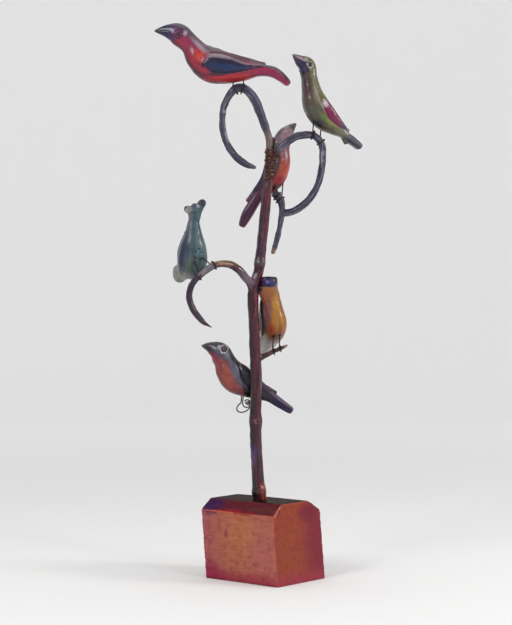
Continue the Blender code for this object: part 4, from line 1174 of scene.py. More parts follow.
# %% Group: Paint Patch
paint_patch, come, go = node_group(
    "Paint Patch",
    [("Under", "Color", WHITE), ("Over", "Color", WHITE), ("Place", "Vector", (0, 0, 0)),
     ("Centre", "Vector", (0, 0, 0)), ("Half Size", "Vector", (1, 1, 1)), ("Tilt", "Float", 0.0),
     ("Softness", "Float", 0.3), ("Strength", "Float", 1.0)],
    [("Color", "Color"), ("Mask", "Float")])
tree = paint_patch
away = put(tree, "VectorMath", come["Place"], come["Centre"], operation="SUBTRACT").outputs[0]
turned = put(tree, "VectorRotate", away, rotation_type="Y_AXIS")
feed(tree, turned.inputs["Angle"], come["Tilt"])
away = put(tree, "VectorMath", turned.outputs[0], come["Half Size"], operation="DIVIDE").outputs[0]
gap = put(tree, "VectorMath", away, operation="LENGTH").outputs["Value"]
outer = plus(tree, 1.0, come["Softness"])
inner = sums(tree, "SUBTRACT", 1.0, come["Softness"])
mask = times(tree, ramp(tree, gap, outer, inner), come["Strength"])
tree.links.new(mask, go["Mask"])
tree.links.new(mixed(tree, mask, come["Under"], come["Over"]), go["Color"])
print("made", paint_patch.name)

# %% [markdown]
# The whole carving was painted by hand and varnished long ago. The varnish has darkened in clouds, it has
# crazed here and there and it is rubbed off on the edges, and the paint is made darker in the hollows. This
# group ages any paint in that way. Stroke is the place stretched along the brush marks.

# %% Group: Aged Varnish
aged_varnish, come, go = node_group(
    "Aged Varnish",
    [("Paint", "Color", WHITE), ("Place", "Vector", (0, 0, 0)), ("Stroke", "Vector", (0, 0, 0)),
     ("Crest", "Float", 0.0), ("Bare", "Color", WHITE), ("Wear", "Float", 0.5),
     ("Stain", "Color", (0.03, 0.01, 0.03, 1.0)), ("Staining", "Float", 0.35), ("Brushing", "Float", 0.5)],
    [("Color", "Color"), ("Roughness", "Float"), ("Height", "Float")])
tree = aged_varnish
brush = clouds(tree, come["Stroke"], 1.0, 5.0, 0.6).outputs["Fac"]
tone = ramp(tree, brush, 0.3, 0.7, -0.34, 0.30)
tone = plus(tree, times(tree, tone, come["Brushing"]), 1.0)
paint = scaled(tree, come["Paint"], tone)
cloud = clouds(tree, come["Place"], 6.0, 4.0, 0.6).outputs["Fac"]
cloud = ramp(tree, cloud, 0.42, 0.78)
paint = mixed(tree, times(tree, cloud, come["Staining"]), paint, come["Stain"])
speck = clouds(tree, come["Place"], 0.9, 2.0).outputs["Fac"]
dark_speck = times(tree, ramp(tree, speck, 0.62, 0.74), come["Staining"])
paint = mixed(tree, dark_speck, paint, come["Stain"])
craze = put(tree, "TexVoronoi", feature="DISTANCE_TO_EDGE")
feed(tree, craze.inputs["Vector"], come["Place"])
feed(tree, craze.inputs["Scale"], 0.42)
craze = times(tree, ramp(tree, craze.outputs[0], 0.05, 0.0),
             ramp(tree, cloud, 0.25, 0.8))
paint = mixed(tree, times(tree, craze, 0.45), paint, come["Stain"])
fray = clouds(tree, come["Place"], 2.2, 3.0, 0.65).outputs["Fac"]
rub = plus(tree, come["Crest"], times(tree, fray, 0.28))
rub = times(tree, ramp(tree, rub, 0.20, 0.36), come["Wear"])
paint = mixed(tree, rub, paint, come["Bare"])
# Hollows, found by a crest below zero, are painted darker.
hollow_dark = ramp(tree, come["Crest"], -0.05, -0.25)
paint = mixed(tree, times(tree, hollow_dark, 0.4), paint, come["Stain"])
matt = plus(tree, times(tree, cloud, 0.16),
            times(tree, plus(tree, rub, hollow_dark), 0.22))
matt = plus(tree, matt, ramp(tree, fray, 0.3, 0.7, 0.24, 0.36))
relief = plus(tree, times(tree, brush, 0.6),
              times(tree, fray, 0.35))
relief = sums(tree, "SUBTRACT", relief, times(tree, craze, 0.3))
tree.links.new(paint, go["Color"])
tree.links.new(matt, go["Roughness"])
tree.links.new(relief, go["Height"])
print("made", aged_varnish.name)

# %% [markdown]
# Bark under paint. The grain of a branch was stored as across, side and distance run, so noise
# that is stretched in the third direction runs with the wood: dark furrows, pale ridges where
# the paint has thinned, and the small cross marks that buds leave.

# %% Group: Painted Bark
painted_bark, come, go = node_group(
    "Painted Bark",
    [("Grain", "Vector", (0, 0, 0)), ("Ground", "Color", WHITE), ("Furrow", "Color", WHITE),
     ("Ridge", "Color", WHITE), ("Contrast", "Float", 0.6)],
    [("Color", "Color"), ("Height", "Float")])
tree = painted_bark
long = stretched(tree, come["Grain"], (1.0, 1.0, 0.07))
streak = clouds(tree, long, 1.7, 4.0, 0.6).outputs["Fac"]
fine = clouds(tree, long, 0.55, 3.0, 0.6).outputs["Fac"]
furrow = times(tree, ramp(tree, streak, 0.52, 0.34), come["Contrast"])
bark = mixed(tree, furrow, come["Ground"], come["Furrow"])
ridge = times(tree, ramp(tree, streak, 0.55, 0.72), come["Contrast"])
bark = mixed(tree, ridge, bark, come["Ridge"])
broad = stretched(tree, come["Grain"], (0.5, 0.5, 0.2))
blotch = clouds(tree, broad, 3.0, 3.0).outputs["Fac"]
bark = scaled(tree, bark, ramp(tree, blotch, 0.3, 0.7, 0.7, 1.3))
bud = clouds(tree, stretched(tree, come["Grain"], (0.5, 0.5, 1.3)), 1.5, 2.0).outputs["Fac"]
bud = ramp(tree, bud, 0.62, 0.72)
bark = mixed(tree, times(tree, bud, 0.55), bark, come["Furrow"])
relief = plus(tree, times(tree, streak, 0.7),
              times(tree, fine, 0.35))
relief = sums(tree, "SUBTRACT", relief, times(tree, bud, 0.25))
tree.links.new(bark, go["Color"])
tree.links.new(relief, go["Height"])
print("made", painted_bark.name)

# %% [markdown]
# One function finishes every painted piece. It takes the paint so far, ages it, and connects
# the shader. The varnish itself is the shader's clear coat: a thin glossy layer that mirrors
# the softboxes over whatever the paint below does.

# %% Varnished finish
COAT_ROUGH = 0.15
UNDER_SHINE = 0.22    # how much the paint itself shines under its coat
RELIEF = 0.55
def new_paint(name):
    """A material, its diagram and its shader."""
    made = bpy.data.materials.new(name)
    made.use_nodes = True
    return made, made.node_tree, made.node_tree.nodes["Principled BSDF"]


ANY = 900.0     # a half size that runs right through


def lay_strokes(tree, paint, strokes, spaces, lit=LIT):
    """Lay the patches of a list over a paint, in order; two numbers leave out the middle one."""
    for what, space, centre, half, softness, colour, *more in strokes:
        if len(centre) == 2:
            centre, half = (centre[0], 0.0, centre[1]), (half[0], ANY, half[1])
        tilt = math.radians(more[0]) if more else 0.0
        paint = use(tree, paint_patch, Under=paint, Over=seen(*colour, lit), Place=spaces[space],
                    Centre=centre, Half_Size=half, Tilt=tilt, Softness=softness).outputs["Color"]
    return paint


def varnish(tree, shader, paint, place, stroke, relief=None, depth=0.0004, gloss=0.5, **ageing):
    """Age a paint and give it its clear coat."""
    aged = use(tree, aged_varnish, Paint=paint, Place=place, Stroke=stroke,
               Crest=stored(tree, "crest")[1], **ageing)
    height = aged.outputs["Height"]
    if relief:
        height = plus(tree, height, relief)
    bump = put(tree, "Bump")
    feed(tree, bump.inputs["Strength"], RELIEF)
    feed(tree, bump.inputs["Distance"], depth)
    tree.links.new(height, bump.inputs["Height"])
    tree.links.new(aged.outputs["Color"], shader.inputs["Base Color"])
    tree.links.new(aged.outputs["Roughness"], shader.inputs["Roughness"])
    tree.links.new(bump.outputs["Normal"], shader.inputs["Normal"])
    shader.inputs["Coat Weight"].default_value = gloss
    shader.inputs["Coat Roughness"].default_value = COAT_ROUGH
    shader.inputs["Specular IOR Level"].default_value = UNDER_SHINE


# %% [markdown]
# The block is painted a rusty red, warmer in the middle of each face and crimson toward the
# edges. The chamfers are maroon, with one violet end, and the sharp edges are rubbed down to an
# orange undercoat. The top is nearly black under a thin varnish that mirrors the wall.

# %% Block paint
BLOCK_STROKES = [
    # The front, far end and near end strokes give each face its own red by the way it faces, so they are lit
    # and shaded copies of one paint: the front is lighter as painted light and the near end darker as painted
    # shade.
    ("front", "facing", (0, -1, 0), (0.5, 0.5, 0.5), 0.3, (156, 90, 74)),
    ("far end", "facing", (-1, 0, 0), (0.5, 0.5, 0.5), 0.3, (140, 72, 58)),
    ("front's left", "block", (-54, -40, 40), (18, 8, 70), 0.7, (154, 84, 84)),
    ("front's glow", "block", (2, -40, 45), (20, 8, 22), 0.9, (166, 102, 70)),
    ("front's rose", "block", (34, -40, 26), (22, 8, 30), 0.8, (160, 92, 84)),
    ("near end", "facing", (1, 0, 0), (0.5, 0.5, 0.5), 0.3, (136, 64, 46)),
    ("near end's back", "block", (48, 36, 36), (12, 26, 60), 0.7, (118, 44, 54)),
    ("near end's shade", "block", (48, 18, 72), (9, 16, 9), 0.7, (108, 40, 54)),
    ("crimson foot", "block", (0, 0, -4), (ANY, ANY, 13), 0.7, (144, 56, 68)),
    ("crimson corner", "block", (-44, -40, 2), (20, 14, 16), 0.7, (136, 40, 68)),
    ("dent", "block", (-21, -40, 51), (1.6, 6, 4.6), 0.8, (128, 68, 68), 8.0),
    ("scratch", "block", (49, -5.0, 61), (6, 0.35, 4.2), 0.5, (190, 128, 112)),
    ("second scratch", "block", (49, -1.4, 57), (6, 0.3, 3.0), 0.5, (184, 120, 106)),
    ("third scratch", "block", (49, 1.0, 62.5), (6, 0.3, 3.4), 0.5, (176, 112, 100)),
    ("front chamfer", "facing", (0, -0.58, 0.82), (0.36, 0.36, 0.36), 0.25, (86, 32, 40)),
    ("red streak", "block", (-16, -38, 72.5), (34, 6, 1.6), 0.6, (132, 34, 44)),
    ("brown streak", "block", (24, -34, 76), (22, 6, 3.0), 0.7, (84, 44, 42)),
    ("back chamfer", "facing", (0, 0.5, 0.87), (0.3, 0.3, 0.3), 0.25, (112, 44, 40)),
    ("violet corner", "block", (-48, -34, 77), (17, 12, 8), 0.7, (48, 28, 74)),
    ("top", "facing", (0, 0, 1), (0.3, 0.3, 0.3), 0.2, (34, 33, 29)),
]
BLOCK_GLOSS = 0.4
TOP_GLOSS = 0.13
TOP_ROUGH = 0.8

block_paint, tree, shader = new_paint("block_paint")
place = stored(tree, "block")[0]
shaken = use(tree, hand_wobble, Place=place, Amount=5.0, Size=14.0).outputs[0]
turned_face = use(tree, hand_wobble, Place=stored(tree, "facing")[0], Amount=0.12, Size=0.5).outputs[0]
paint = lay_strokes(tree, seen(140, 72, 54, BLOCK_LIT), BLOCK_STROKES,
                    {"block": shaken, "facing": turned_face}, BLOCK_LIT)
worn_arch = use(tree, paint_patch, Place=shaken, Centre=(49.0, -14.0, 70.0), Half_Size=(6.0, 32.0, 18.0),
                Softness=0.5).outputs["Mask"]
worn_lip = use(tree, paint_patch, Place=shaken, Centre=(-34.0, -40.0, 70.0), Half_Size=(20.0, 6.0, 5.0),
               Softness=0.5, Strength=0.6).outputs["Mask"]
wear = plus(tree, sums(tree, "MAXIMUM", worn_arch, worn_lip), 0.06)
varnish(tree, shader, paint, place, stretched(tree, place, (0.06, 0.5, 0.5)), depth=0.0005,
        gloss=BLOCK_GLOSS, Bare=seen(196, 102, 66, BLOCK_LIT), Wear=wear, Stain=seen(112, 40, 50, BLOCK_LIT),
        Staining=0.42, Brushing=0.45)
shader.inputs["Specular IOR Level"].default_value = 0.0
flat_top = ramp(tree, put(tree, "SeparateXYZ", stored(tree, "facing")[0]).outputs["Z"], 0.85, 0.97)
matt = sums(tree, "MAXIMUM", shader.inputs["Roughness"].links[0].from_socket,
            times(tree, flat_top, TOP_ROUGH))
tree.links.new(matt, shader.inputs["Roughness"])
tree.links.new(sums(tree, "SUBTRACT", BLOCK_GLOSS, times(tree, flat_top, BLOCK_GLOSS - TOP_GLOSS)),
               shader.inputs["Coat Weight"])
print(block_paint.name, len(tree.nodes), "nodes")

# %% [markdown]
# The trunk is wine-red over black, the twigs a cold purple black. Both keep a pale tan where
# the bark has come away, as on the crown of the left fork and at the cut tip of the cross twig.

# %% Trunk and twig paint
TRUNK_STROKES = [
    ("shaded left", "grain", (0, 6.8, 0), (ANY, 5.8, ANY), 0.35, (30, 20, 32)),
    ("wine right", "grain", (-4, -3.6, 300), (5, 3.4, 130), 0.7, (98, 30, 46)),
    ("violet patch", "tree", (-13, -4, 130), (5, 9, 9), 0.7, (66, 56, 104)),
    ("violet length", "tree", (-6, -5, 352), (5, 9, 22), 0.7, (62, 40, 74)),
    ("knot", "tree", (-9, -6, 165), (3.0, 5, 3.2), 0.4, (130, 84, 84)),
    ("knot's dark", "tree", (-8.4, -6, 166), (1.4, 5, 1.4), 0.4, (30, 20, 28)),
    ("cold ring", "tree", (-6, 0, 331), (9, 12, 3), 0.7, (84, 80, 92)),
    ("glow at the foot", "tree", (0, 0, 92), (5.5, 9, 9), 0.7, (172, 66, 40)),
    ("bound end", "tree", (4, 0, 436), (14, 14, 20), 0.5, (84, 46, 40)),
    ("hook", "tree", (-72, -25, 290), (34, 30, 36), 0.15, (46, 42, 66)),
    ("fork's root", "tree", (-22, -10, 316), (13, 16, 11), 0.4, (112, 96, 112)),
    ("bare crown", "tree", (-42, -27, 333.5), (14, 14, 5.0), 0.45, (166, 130, 104)),
    ("grey crown", "tree", (-62, -31, 326), (10, 14, 7), 0.5, (122, 120, 126)),
    ("stub", "tree", (14, 4, 241), (16, 12, 8), 0.3, (96, 70, 76)),
    ("stub's bare tip", "tree", (24, 6, 245.5), (5, 8, 5), 0.5, (186, 138, 122)),
]
TWIG_STROKES = [
    ("blue side", "grain", (0, -6.0, 0), (ANY, 5.0, ANY), 0.6, (62, 60, 92)),
    ("binding's stain", "tree", (5, -4, 440), (12, 12, 20), 0.5, (66, 54, 52)),
    ("bare bend", "tree", (4.4, -9, 461), (6, 12, 9), 0.6, (134, 112, 98)),
    # The pale streak down the right loop's right limb is a painted highlight.
    ("limb's painted highlight", "tree", (59.6, 0, 441), (1.0, 12, 15), 0.8, (146, 146, 160)),
    ("cut tip", "tree", (8.4, 7, 343), (4.4, 6, 5.2), 0.3, (186, 146, 116)),
    ("cut butt", "tree", (-12, -14, 431), (4, 6, 4), 0.5, (104, 102, 110)),
]


def bark_paint(name, ground, furrow, ridge, strokes, stain, bare, contrast):
    """A varnished bark with its patches."""
    made, tree, shader = new_paint(name)
    grain = stored(tree, "grain")[0]
    place = stored(tree, "tree")[0]
    spaces = {"tree": use(tree, hand_wobble, Place=place, Amount=3.0, Size=6.0).outputs[0],
              "grain": use(tree, hand_wobble, Place=grain, Amount=1.6, Size=5.0).outputs[0]}
    tinted = lay_strokes(tree, seen(*ground), strokes, spaces)
    bark = use(tree, painted_bark, Grain=grain, Ground=tinted, Furrow=seen(*furrow), Ridge=seen(*ridge),
               Contrast=contrast)
    varnish(tree, shader, bark.outputs["Color"], place, stretched(tree, grain, (0.7, 0.7, 0.06)),
            bark.outputs["Height"], depth=0.0011, gloss=0.42, Bare=seen(*bare), Wear=0.12,
            Stain=seen(*stain), Staining=0.4, Brushing=0.7)
    print(name, len(tree.nodes), "nodes")
    return made


trunk_paint = bark_paint("trunk_paint", ground=(76, 24, 42), furrow=(20, 10, 20), ridge=(108, 48, 70),
                         strokes=TRUNK_STROKES, stain=(26, 12, 26), bare=(124, 66, 70), contrast=0.95)
twig_paint = bark_paint("twig_paint", ground=(80, 71, 94), furrow=(24, 20, 34), ridge=(154, 148, 158),
                        strokes=TWIG_STROKES, stain=(26, 22, 40), bare=(136, 128, 130), contrast=0.9)

# %% [markdown]
# The wires. The binding was wound in iron wire and painted over with the trunk; it is near black with patches
# of copper brown. The legs are bare iron wire, dark with age and freckled with rust.

# %% Wire finishes
def wire_finish(name, dark, warm, pale, share, metal, rough):
    """Old wire: dark, with a warm colour over a share of it and pale flecks, which on the binding are painted
    highlights.
    """
    made, tree, shader = new_paint(name)
    place = stored(tree, "tree")[0]
    patches = clouds(tree, place, 2.6, 4.0, 0.6).outputs["Fac"]
    freckle = clouds(tree, place, 0.5, 2.0).outputs["Fac"]
    rust = ramp(tree, patches, 0.66 - share * 0.3, 0.76 - share * 0.3)
    colour = mixed(tree, rust, seen(*dark), seen(*warm))
    colour = mixed(tree, ramp(tree, freckle, 0.56, 0.7, 0.0, 0.6), colour, seen(*warm))
    pale_flecks_and_glints = clouds(tree, place, 1.4, 3.0).outputs["Fac"]
    colour = mixed(tree, ramp(tree, pale_flecks_and_glints, 0.6, 0.68, 0.0, share * 2.4), colour, seen(*pale))
    bump = put(tree, "Bump")
    feed(tree, bump.inputs["Strength"], 0.5)
    feed(tree, bump.inputs["Distance"], 0.0002)
    tree.links.new(plus(tree, freckle, patches), bump.inputs["Height"])
    tree.links.new(colour, shader.inputs["Base Color"])
    tree.links.new(ramp(tree, patches, 0.3, 0.7, rough - 0.1, rough + 0.15), shader.inputs["Roughness"])
    tree.links.new(bump.outputs["Normal"], shader.inputs["Normal"])
    shader.inputs["Metallic"].default_value = metal
    print(name, len(tree.nodes), "nodes")
    return made


# On the binding the pale flecks are painted highlights, and the copper-brown patches are partly its paint and
# partly painted glints.
binding_wire = wire_finish("binding_wire", dark=(54, 30, 38), warm=(168, 88, 50), pale=(200, 170, 134),
                           share=0.35, metal=0.3, rough=0.4)
leg_wire = wire_finish("leg_wire", dark=(44, 38, 44), warm=(104, 70, 56), pale=(120, 112, 110),
                       share=0.1, metal=0.75, rough=0.42)

# %% [markdown]
# The birds' colours. Each stroke below is one patch: what it is, the coordinates it is laid
# in, its centre and half sizes, how soft its border is, its colour and, for some, a tilt in
# degrees. "body" is forward, left and up on the straight bird, "girth" counts cross-sections
# from bill to tail, with the left and rise as tenths of the body's half width and depth, "wing"
# does the same on the wing, and "tree" is right, back and up, for what was best seen from the
# front. A half size of ANY lets a patch run right through. Where a place has two numbers, they
# are the first and the last, and the patch runs through the bird from side to side.

# %% Strokes of the red and black bird and the green bird
STROKES = {
    "red_and_black": [
        ("keel", "girth", (5.0, -10.5), (4.4, 3.0), 0.6, (72, 28, 54)),
        ("breast", "body", (41.0, 29.0), (5.6, 8.0), 0.7, (198, 54, 42)),
        ("belly", "body", (8.0, 3.0), (26.0, 3.4), 0.6, (184, 46, 50)),
        ("neck", "body", (50.0, 38), (9.0, 6.0), 0.6, (150, 50, 82), 45.0),
        ("back", "girth", (5.6, 13.0), (4.4, 7.6), 0.2, (106, 82, 92)),
        ("crown and nape", "girth", (2.4, 11), (2.7, 7.6), 0.3, (84, 80, 94)),
        ("nape's brown", "girth", (3.6, 12), (1.0, 7.0), 0.6, (116, 80, 96)),
        ("neck's sheen", "body", (39.0, 36.0), (11.0, 2.2), 0.9, (160, 140, 156), 45.0),
        ("chin", "girth", (1.1, -4), (0.7, 8), 0.35, (70, 46, 96)),
        ("mask", "body", (69.5, 49.5), (7.0, 8.5), 0.4, (70, 46, 98)),
        ("bill", "girth", (0.0, 0), (1.15, ANY), 0.25, (38, 40, 72)),
        ("upper bill", "body", (84.0, 55.6), (3.0, 1.0), 0.6, (50, 48, 52), -12.0),
        ("eye ring", "body", (61.2, 49.2), (6.0, 5.9), 0.2, (122, 44, 84)),
        ("eye ring's line", "body", (61.2, 49.2), (4.9, 4.8), 0.15, (46, 24, 54)),
        ("eye ring's inner", "body", (61.2, 49.2), (3.5, 3.4), 0.2, (118, 62, 96)),
        ("eye", "body", (61.2, 49.2), (2.2, 2.2), 0.25, (32, 22, 46)),
        # The pale spot on the cheek behind the eye is a painted highlight.
        ("cheek's painted highlight", "body", (54.4, 50.0), (2.0, 2.6), 0.7, (186, 166, 188)),
        ("shade under the wing", "body", (22, 6.8), (10, 1.8), 0.6, (84, 34, 66)),
        ("wing", "wing", (2.5, 0), (3.4, 10.6), 0.06, (15, 22, 60)),
        ("wing's blue", "wing", (2.0, -3.0), (1.4, 4.0), 0.7, (32, 52, 94)),
        # The pale band along the top of the wing is a painted highlight.
        ("wing's painted highlight", "wing", (1.5, 9.0), (0.9, 2.6), 0.6, (168, 150, 158)),
        ("wing's top", "wing", (3.7, 8.8), (1.5, 3.4), 0.6, (124, 114, 124)),
        ("wing's lower edge", "wing", (2.6, -10.4), (3.6, 1.5), 0.4, (26, 24, 46)),
        ("tail's top", "girth", (9.4, 10.0), (1.5, 7.6), 0.15, (96, 96, 102)),
        ("tail's side", "girth", (9.2, -3.0), (1.6, 6.0), 0.5, (146, 42, 84)),
        ("tail's tip", "girth", (10.0, 10.0), (0.6, 8.0), 0.4, (48, 38, 64)),
    ],
    "green": [
        ("nape", "girth", (3.6, 9), (3.0, 7), 0.6, (106, 100, 66)),
        ("breast", "girth", (4.6, -11), (3.2, 8), 0.5, (86, 76, 68)),
        ("sheen", "body", (5.0, 36), (2.6, 9), 0.8, (132, 124, 108)),
        ("throat's stripe", "body", (12.5, 42), (2.0, 10), 0.7, (84, 48, 66)),
        ("belly", "body", (7, 13), (7, 8), 0.6, (84, 84, 72)),
        ("flank", "body", (-12, 5.0), (12, 3.4), 0.7, (128, 122, 62), 38.0),
        ("green patch", "body", (-3.0, 8.5), (4, 2.6), 0.8, (84, 108, 58), 35.0),
        ("between the legs", "body", (1.5, 2.5), (5, 4.5), 0.5, (46, 44, 58)),
        ("tail's root", "girth", (8.0, 0), (0.9, ANY), 0.6, (112, 108, 92)),
        ("tail", "girth", (9.7, 0), (1.4, ANY), 0.4, (76, 74, 90)),
        ("tail's side", "girth", (9.4, -8), (1.2, 3.5), 0.6, (54, 50, 68)),
        ("face", "body", (18.0, 62.5), (7.2, 9.5), 0.3, (46, 44, 74)),
        ("lower bill", "body", (23.5, 70.0), (4.2, 3.4), 0.4, (66, 50, 80), 40.0),
        ("upper bill", "girth", (0.2, 8), (0.9, 8.0), 0.3, (76, 72, 66)),
        ("gape", "body", (20.6, 72.0), (5.5, 0.7), 0.5, (198, 160, 176), 28.0),
        ("lower gape", "body", (19.8, 70.0), (5.0, 0.5), 0.5, (180, 150, 170), 28.0),
        # The pale patch on the lore, before and above the eye, is a painted highlight.
        ("lore", "body", (14.4, 69.6), (2.2, 1.5), 0.6, (176, 172, 160)),
        ("eye ring", "body", (10.4, 64.2), (3.6, 3.8), 0.25, (176, 174, 158)),
        ("eye", "body", (10.6, 64.6), (2.4, 2.6), 0.2, (32, 32, 66)),
        ("wing", "wing", (2.5, 0), (3.6, 10.6), 0.05, (84, 36, 62)),
        ("wing's magenta", "wing", (2.0, 0.6), (2.2, 8.4), 0.25, (124, 21, 72)),
        ("wing's tip", "wing", (4.6, 0), (1.3, 9.0), 0.3, (80, 58, 78)),
        ("shoulder's glint", "wing", (0.35, -2.0), (0.5, 6.0), 0.6, (222, 206, 216)),
    ],
}
print("strokes:", {name: len(rows) for name, rows in STROKES.items()})

# %% Strokes of the rose bird and the teal bird
STROKES["rose"] = [
    ("head", "girth", (1.8, 3), (2.0, 16), 0.3, (194, 171, 180)),
    ("mauve cheek", "body", (6, 52), (4, 7), 0.6, (196, 150, 168)),
    ("bill", "girth", (0.2, 0), (0.7, ANY), 0.4, (118, 116, 118)),
    ("nape", "girth", (2.9, 9), (1.6, 6), 0.5, (120, 104, 116)),
    ("neck", "girth", (3.6, 0), (0.7, ANY), 0.6, (164, 126, 132)),
    ("breast's edge", "girth", (4.6, -11), (2.6, 4.6), 0.5, (156, 46, 60)),
    ("salmon side", "body", (2.6, 17), (6, 11), 0.6, (202, 88, 68)),
    ("glint", "body", (4.2, 32), (1.4, 4.2), 0.7, (224, 186, 186)),
    ("belly", "body", (-3, 3), (11, 6.5), 0.5, (176, 44, 50)),
    ("torn dark", "body", (-5, -2), (8, 3.5), 0.6, (70, 26, 36)),
    ("back", "girth", (5.4, 11), (2.4, 5), 0.4, (92, 68, 92)),
    ("wing", "wing", (2.5, 0), (3.6, 10.6), 0.05, (86, 52, 88)),
    ("wing's grey", "wing", (1.0, -1.0), (2.0, 8.5), 0.35, (78, 92, 100)),
    # The pale spot on the grey of the wing is a painted highlight.
    ("wing's painted glint", "wing", (1.1, -5.0), (1.0, 2.2), 0.7, (146, 156, 160)),
    ("wing's back edge", "wing", (3.6, 9.0), (2.0, 5.0), 0.5, (44, 32, 66)),
    ("wing's tip", "wing", (4.5, -2), (1.1, 9.0), 0.4, (26, 24, 58)),
    ("tail", "girth", (9.2, 0), (1.6, ANY), 0.3, (132, 40, 82)),
    ("tail's magenta", "girth", (9.7, 0), (0.6, 7), 0.6, (124, 26, 96)),
    ("tail's edge", "girth", (9.2, 9.0, 0), (2.0, 2.2, ANY), 0.5, (70, 34, 66)),
    ("tail's other edge", "girth", (9.2, -9.0, 0), (2.0, 2.2, ANY), 0.5, (70, 34, 66)),
    ("eye", "body", (3.4, 54), (1.3, 1.3), 0.6, (158, 134, 146)),
    ("long wing's tip", "tree", (-9.8, 20, 411.5), (3.8, 30, 15), 0.4, (52, 34, 72), -34.0),
]
STROKES["teal"] = [
    ("wing", "wing", (2.5, 0), (3.6, 10.6), 0.06, (52, 58, 96)),
    ("wing's lilac", "wing", (1.9, 5.0), (1.8, 4.5), 0.6, (108, 100, 130)),
    ("back", "girth", (5.0, 11), (3.0, 5), 0.4, (58, 72, 92)),
    ("dark left", "tree", (-90, -20, 346), (6.5, 30, 27), 0.5, (44, 50, 80)),
    ("blue strip", "tree", (-81, -30, 350), (2.6, 16, 24), 0.7, (60, 76, 100)),
    ("green-grey breast", "tree", (-79.2, -30, 328), (5, 16, 8), 0.8, (98, 108, 92)),
    ("neck", "tree", (-72.0, -30, 374), (4.0, 18, 18), 0.6, (70, 95, 104)),
    ("neck's left", "tree", (-79.6, -30, 376), (3.2, 18, 16), 0.5, (108, 106, 118)),
    ("right flank", "tree", (-64.5, -28, 346), (3.4, 18, 16), 0.6, (102, 118, 116)),
    ("flaked", "tree", (-68.6, -34, 343.0), (5.2, 14, 6.2), 0.5, (66, 112, 128)),
    ("pit", "tree", (-68.6, -34, 345.6), (1.9, 14, 1.7), 0.4, (24, 54, 74)),
    ("second pit", "tree", (-66.6, -34, 341.6), (1.5, 14, 1.3), 0.4, (28, 60, 80)),
    ("third pit", "tree", (-72.3, -34, 342.8), (1.3, 14, 1.2), 0.4, (30, 62, 84)),
    ("near leg's hole", "tree", (-67.2, -34, 335.4), (2.4, 14, 2.2), 0.5, (26, 32, 42)),
    ("far leg's hole", "tree", (-72.8, -34, 336.3), (2.2, 14, 2.0), 0.5, (30, 38, 50)),
    ("vent", "tree", (-83.5, -24, 318.0), (6, 22, 4), 0.5, (150, 146, 136)),
    ("tail", "girth", (9.2, 0), (1.6, ANY), 0.3, (140, 138, 128)),
    ("brow", "tree", (-73.8, -24, 392.4), (4.0, 24, 3.0), 0.5, (74, 60, 98)),
    ("pale lobe", "tree", (-80.6, -24, 387.0), (4.4, 24, 4.4), 0.35, (168, 168, 166)),
    ("pale lobe's dark end", "tree", (-83.6, -24, 389.0), (1.9, 24, 2.2), 0.4, (44, 48, 58)),
    # The pale crescent by the bill is a painted highlight.
    ("painted highlight crescent", "tree", (-70.2, -24, 390.6), (1.2, 24, 2.4), 0.5, (172, 176, 180), 40.0),
    ("bill", "tree", (-64.6, -24, 394.4), (4.6, 24, 4.6), 0.3, (70, 60, 84)),
    ("bill's dark end", "tree", (-64.2, -24, 393.6), (2.0, 24, 2.4), 0.4, (30, 26, 44)),
]
print("strokes:", {name: len(rows) for name, rows in STROKES.items()})

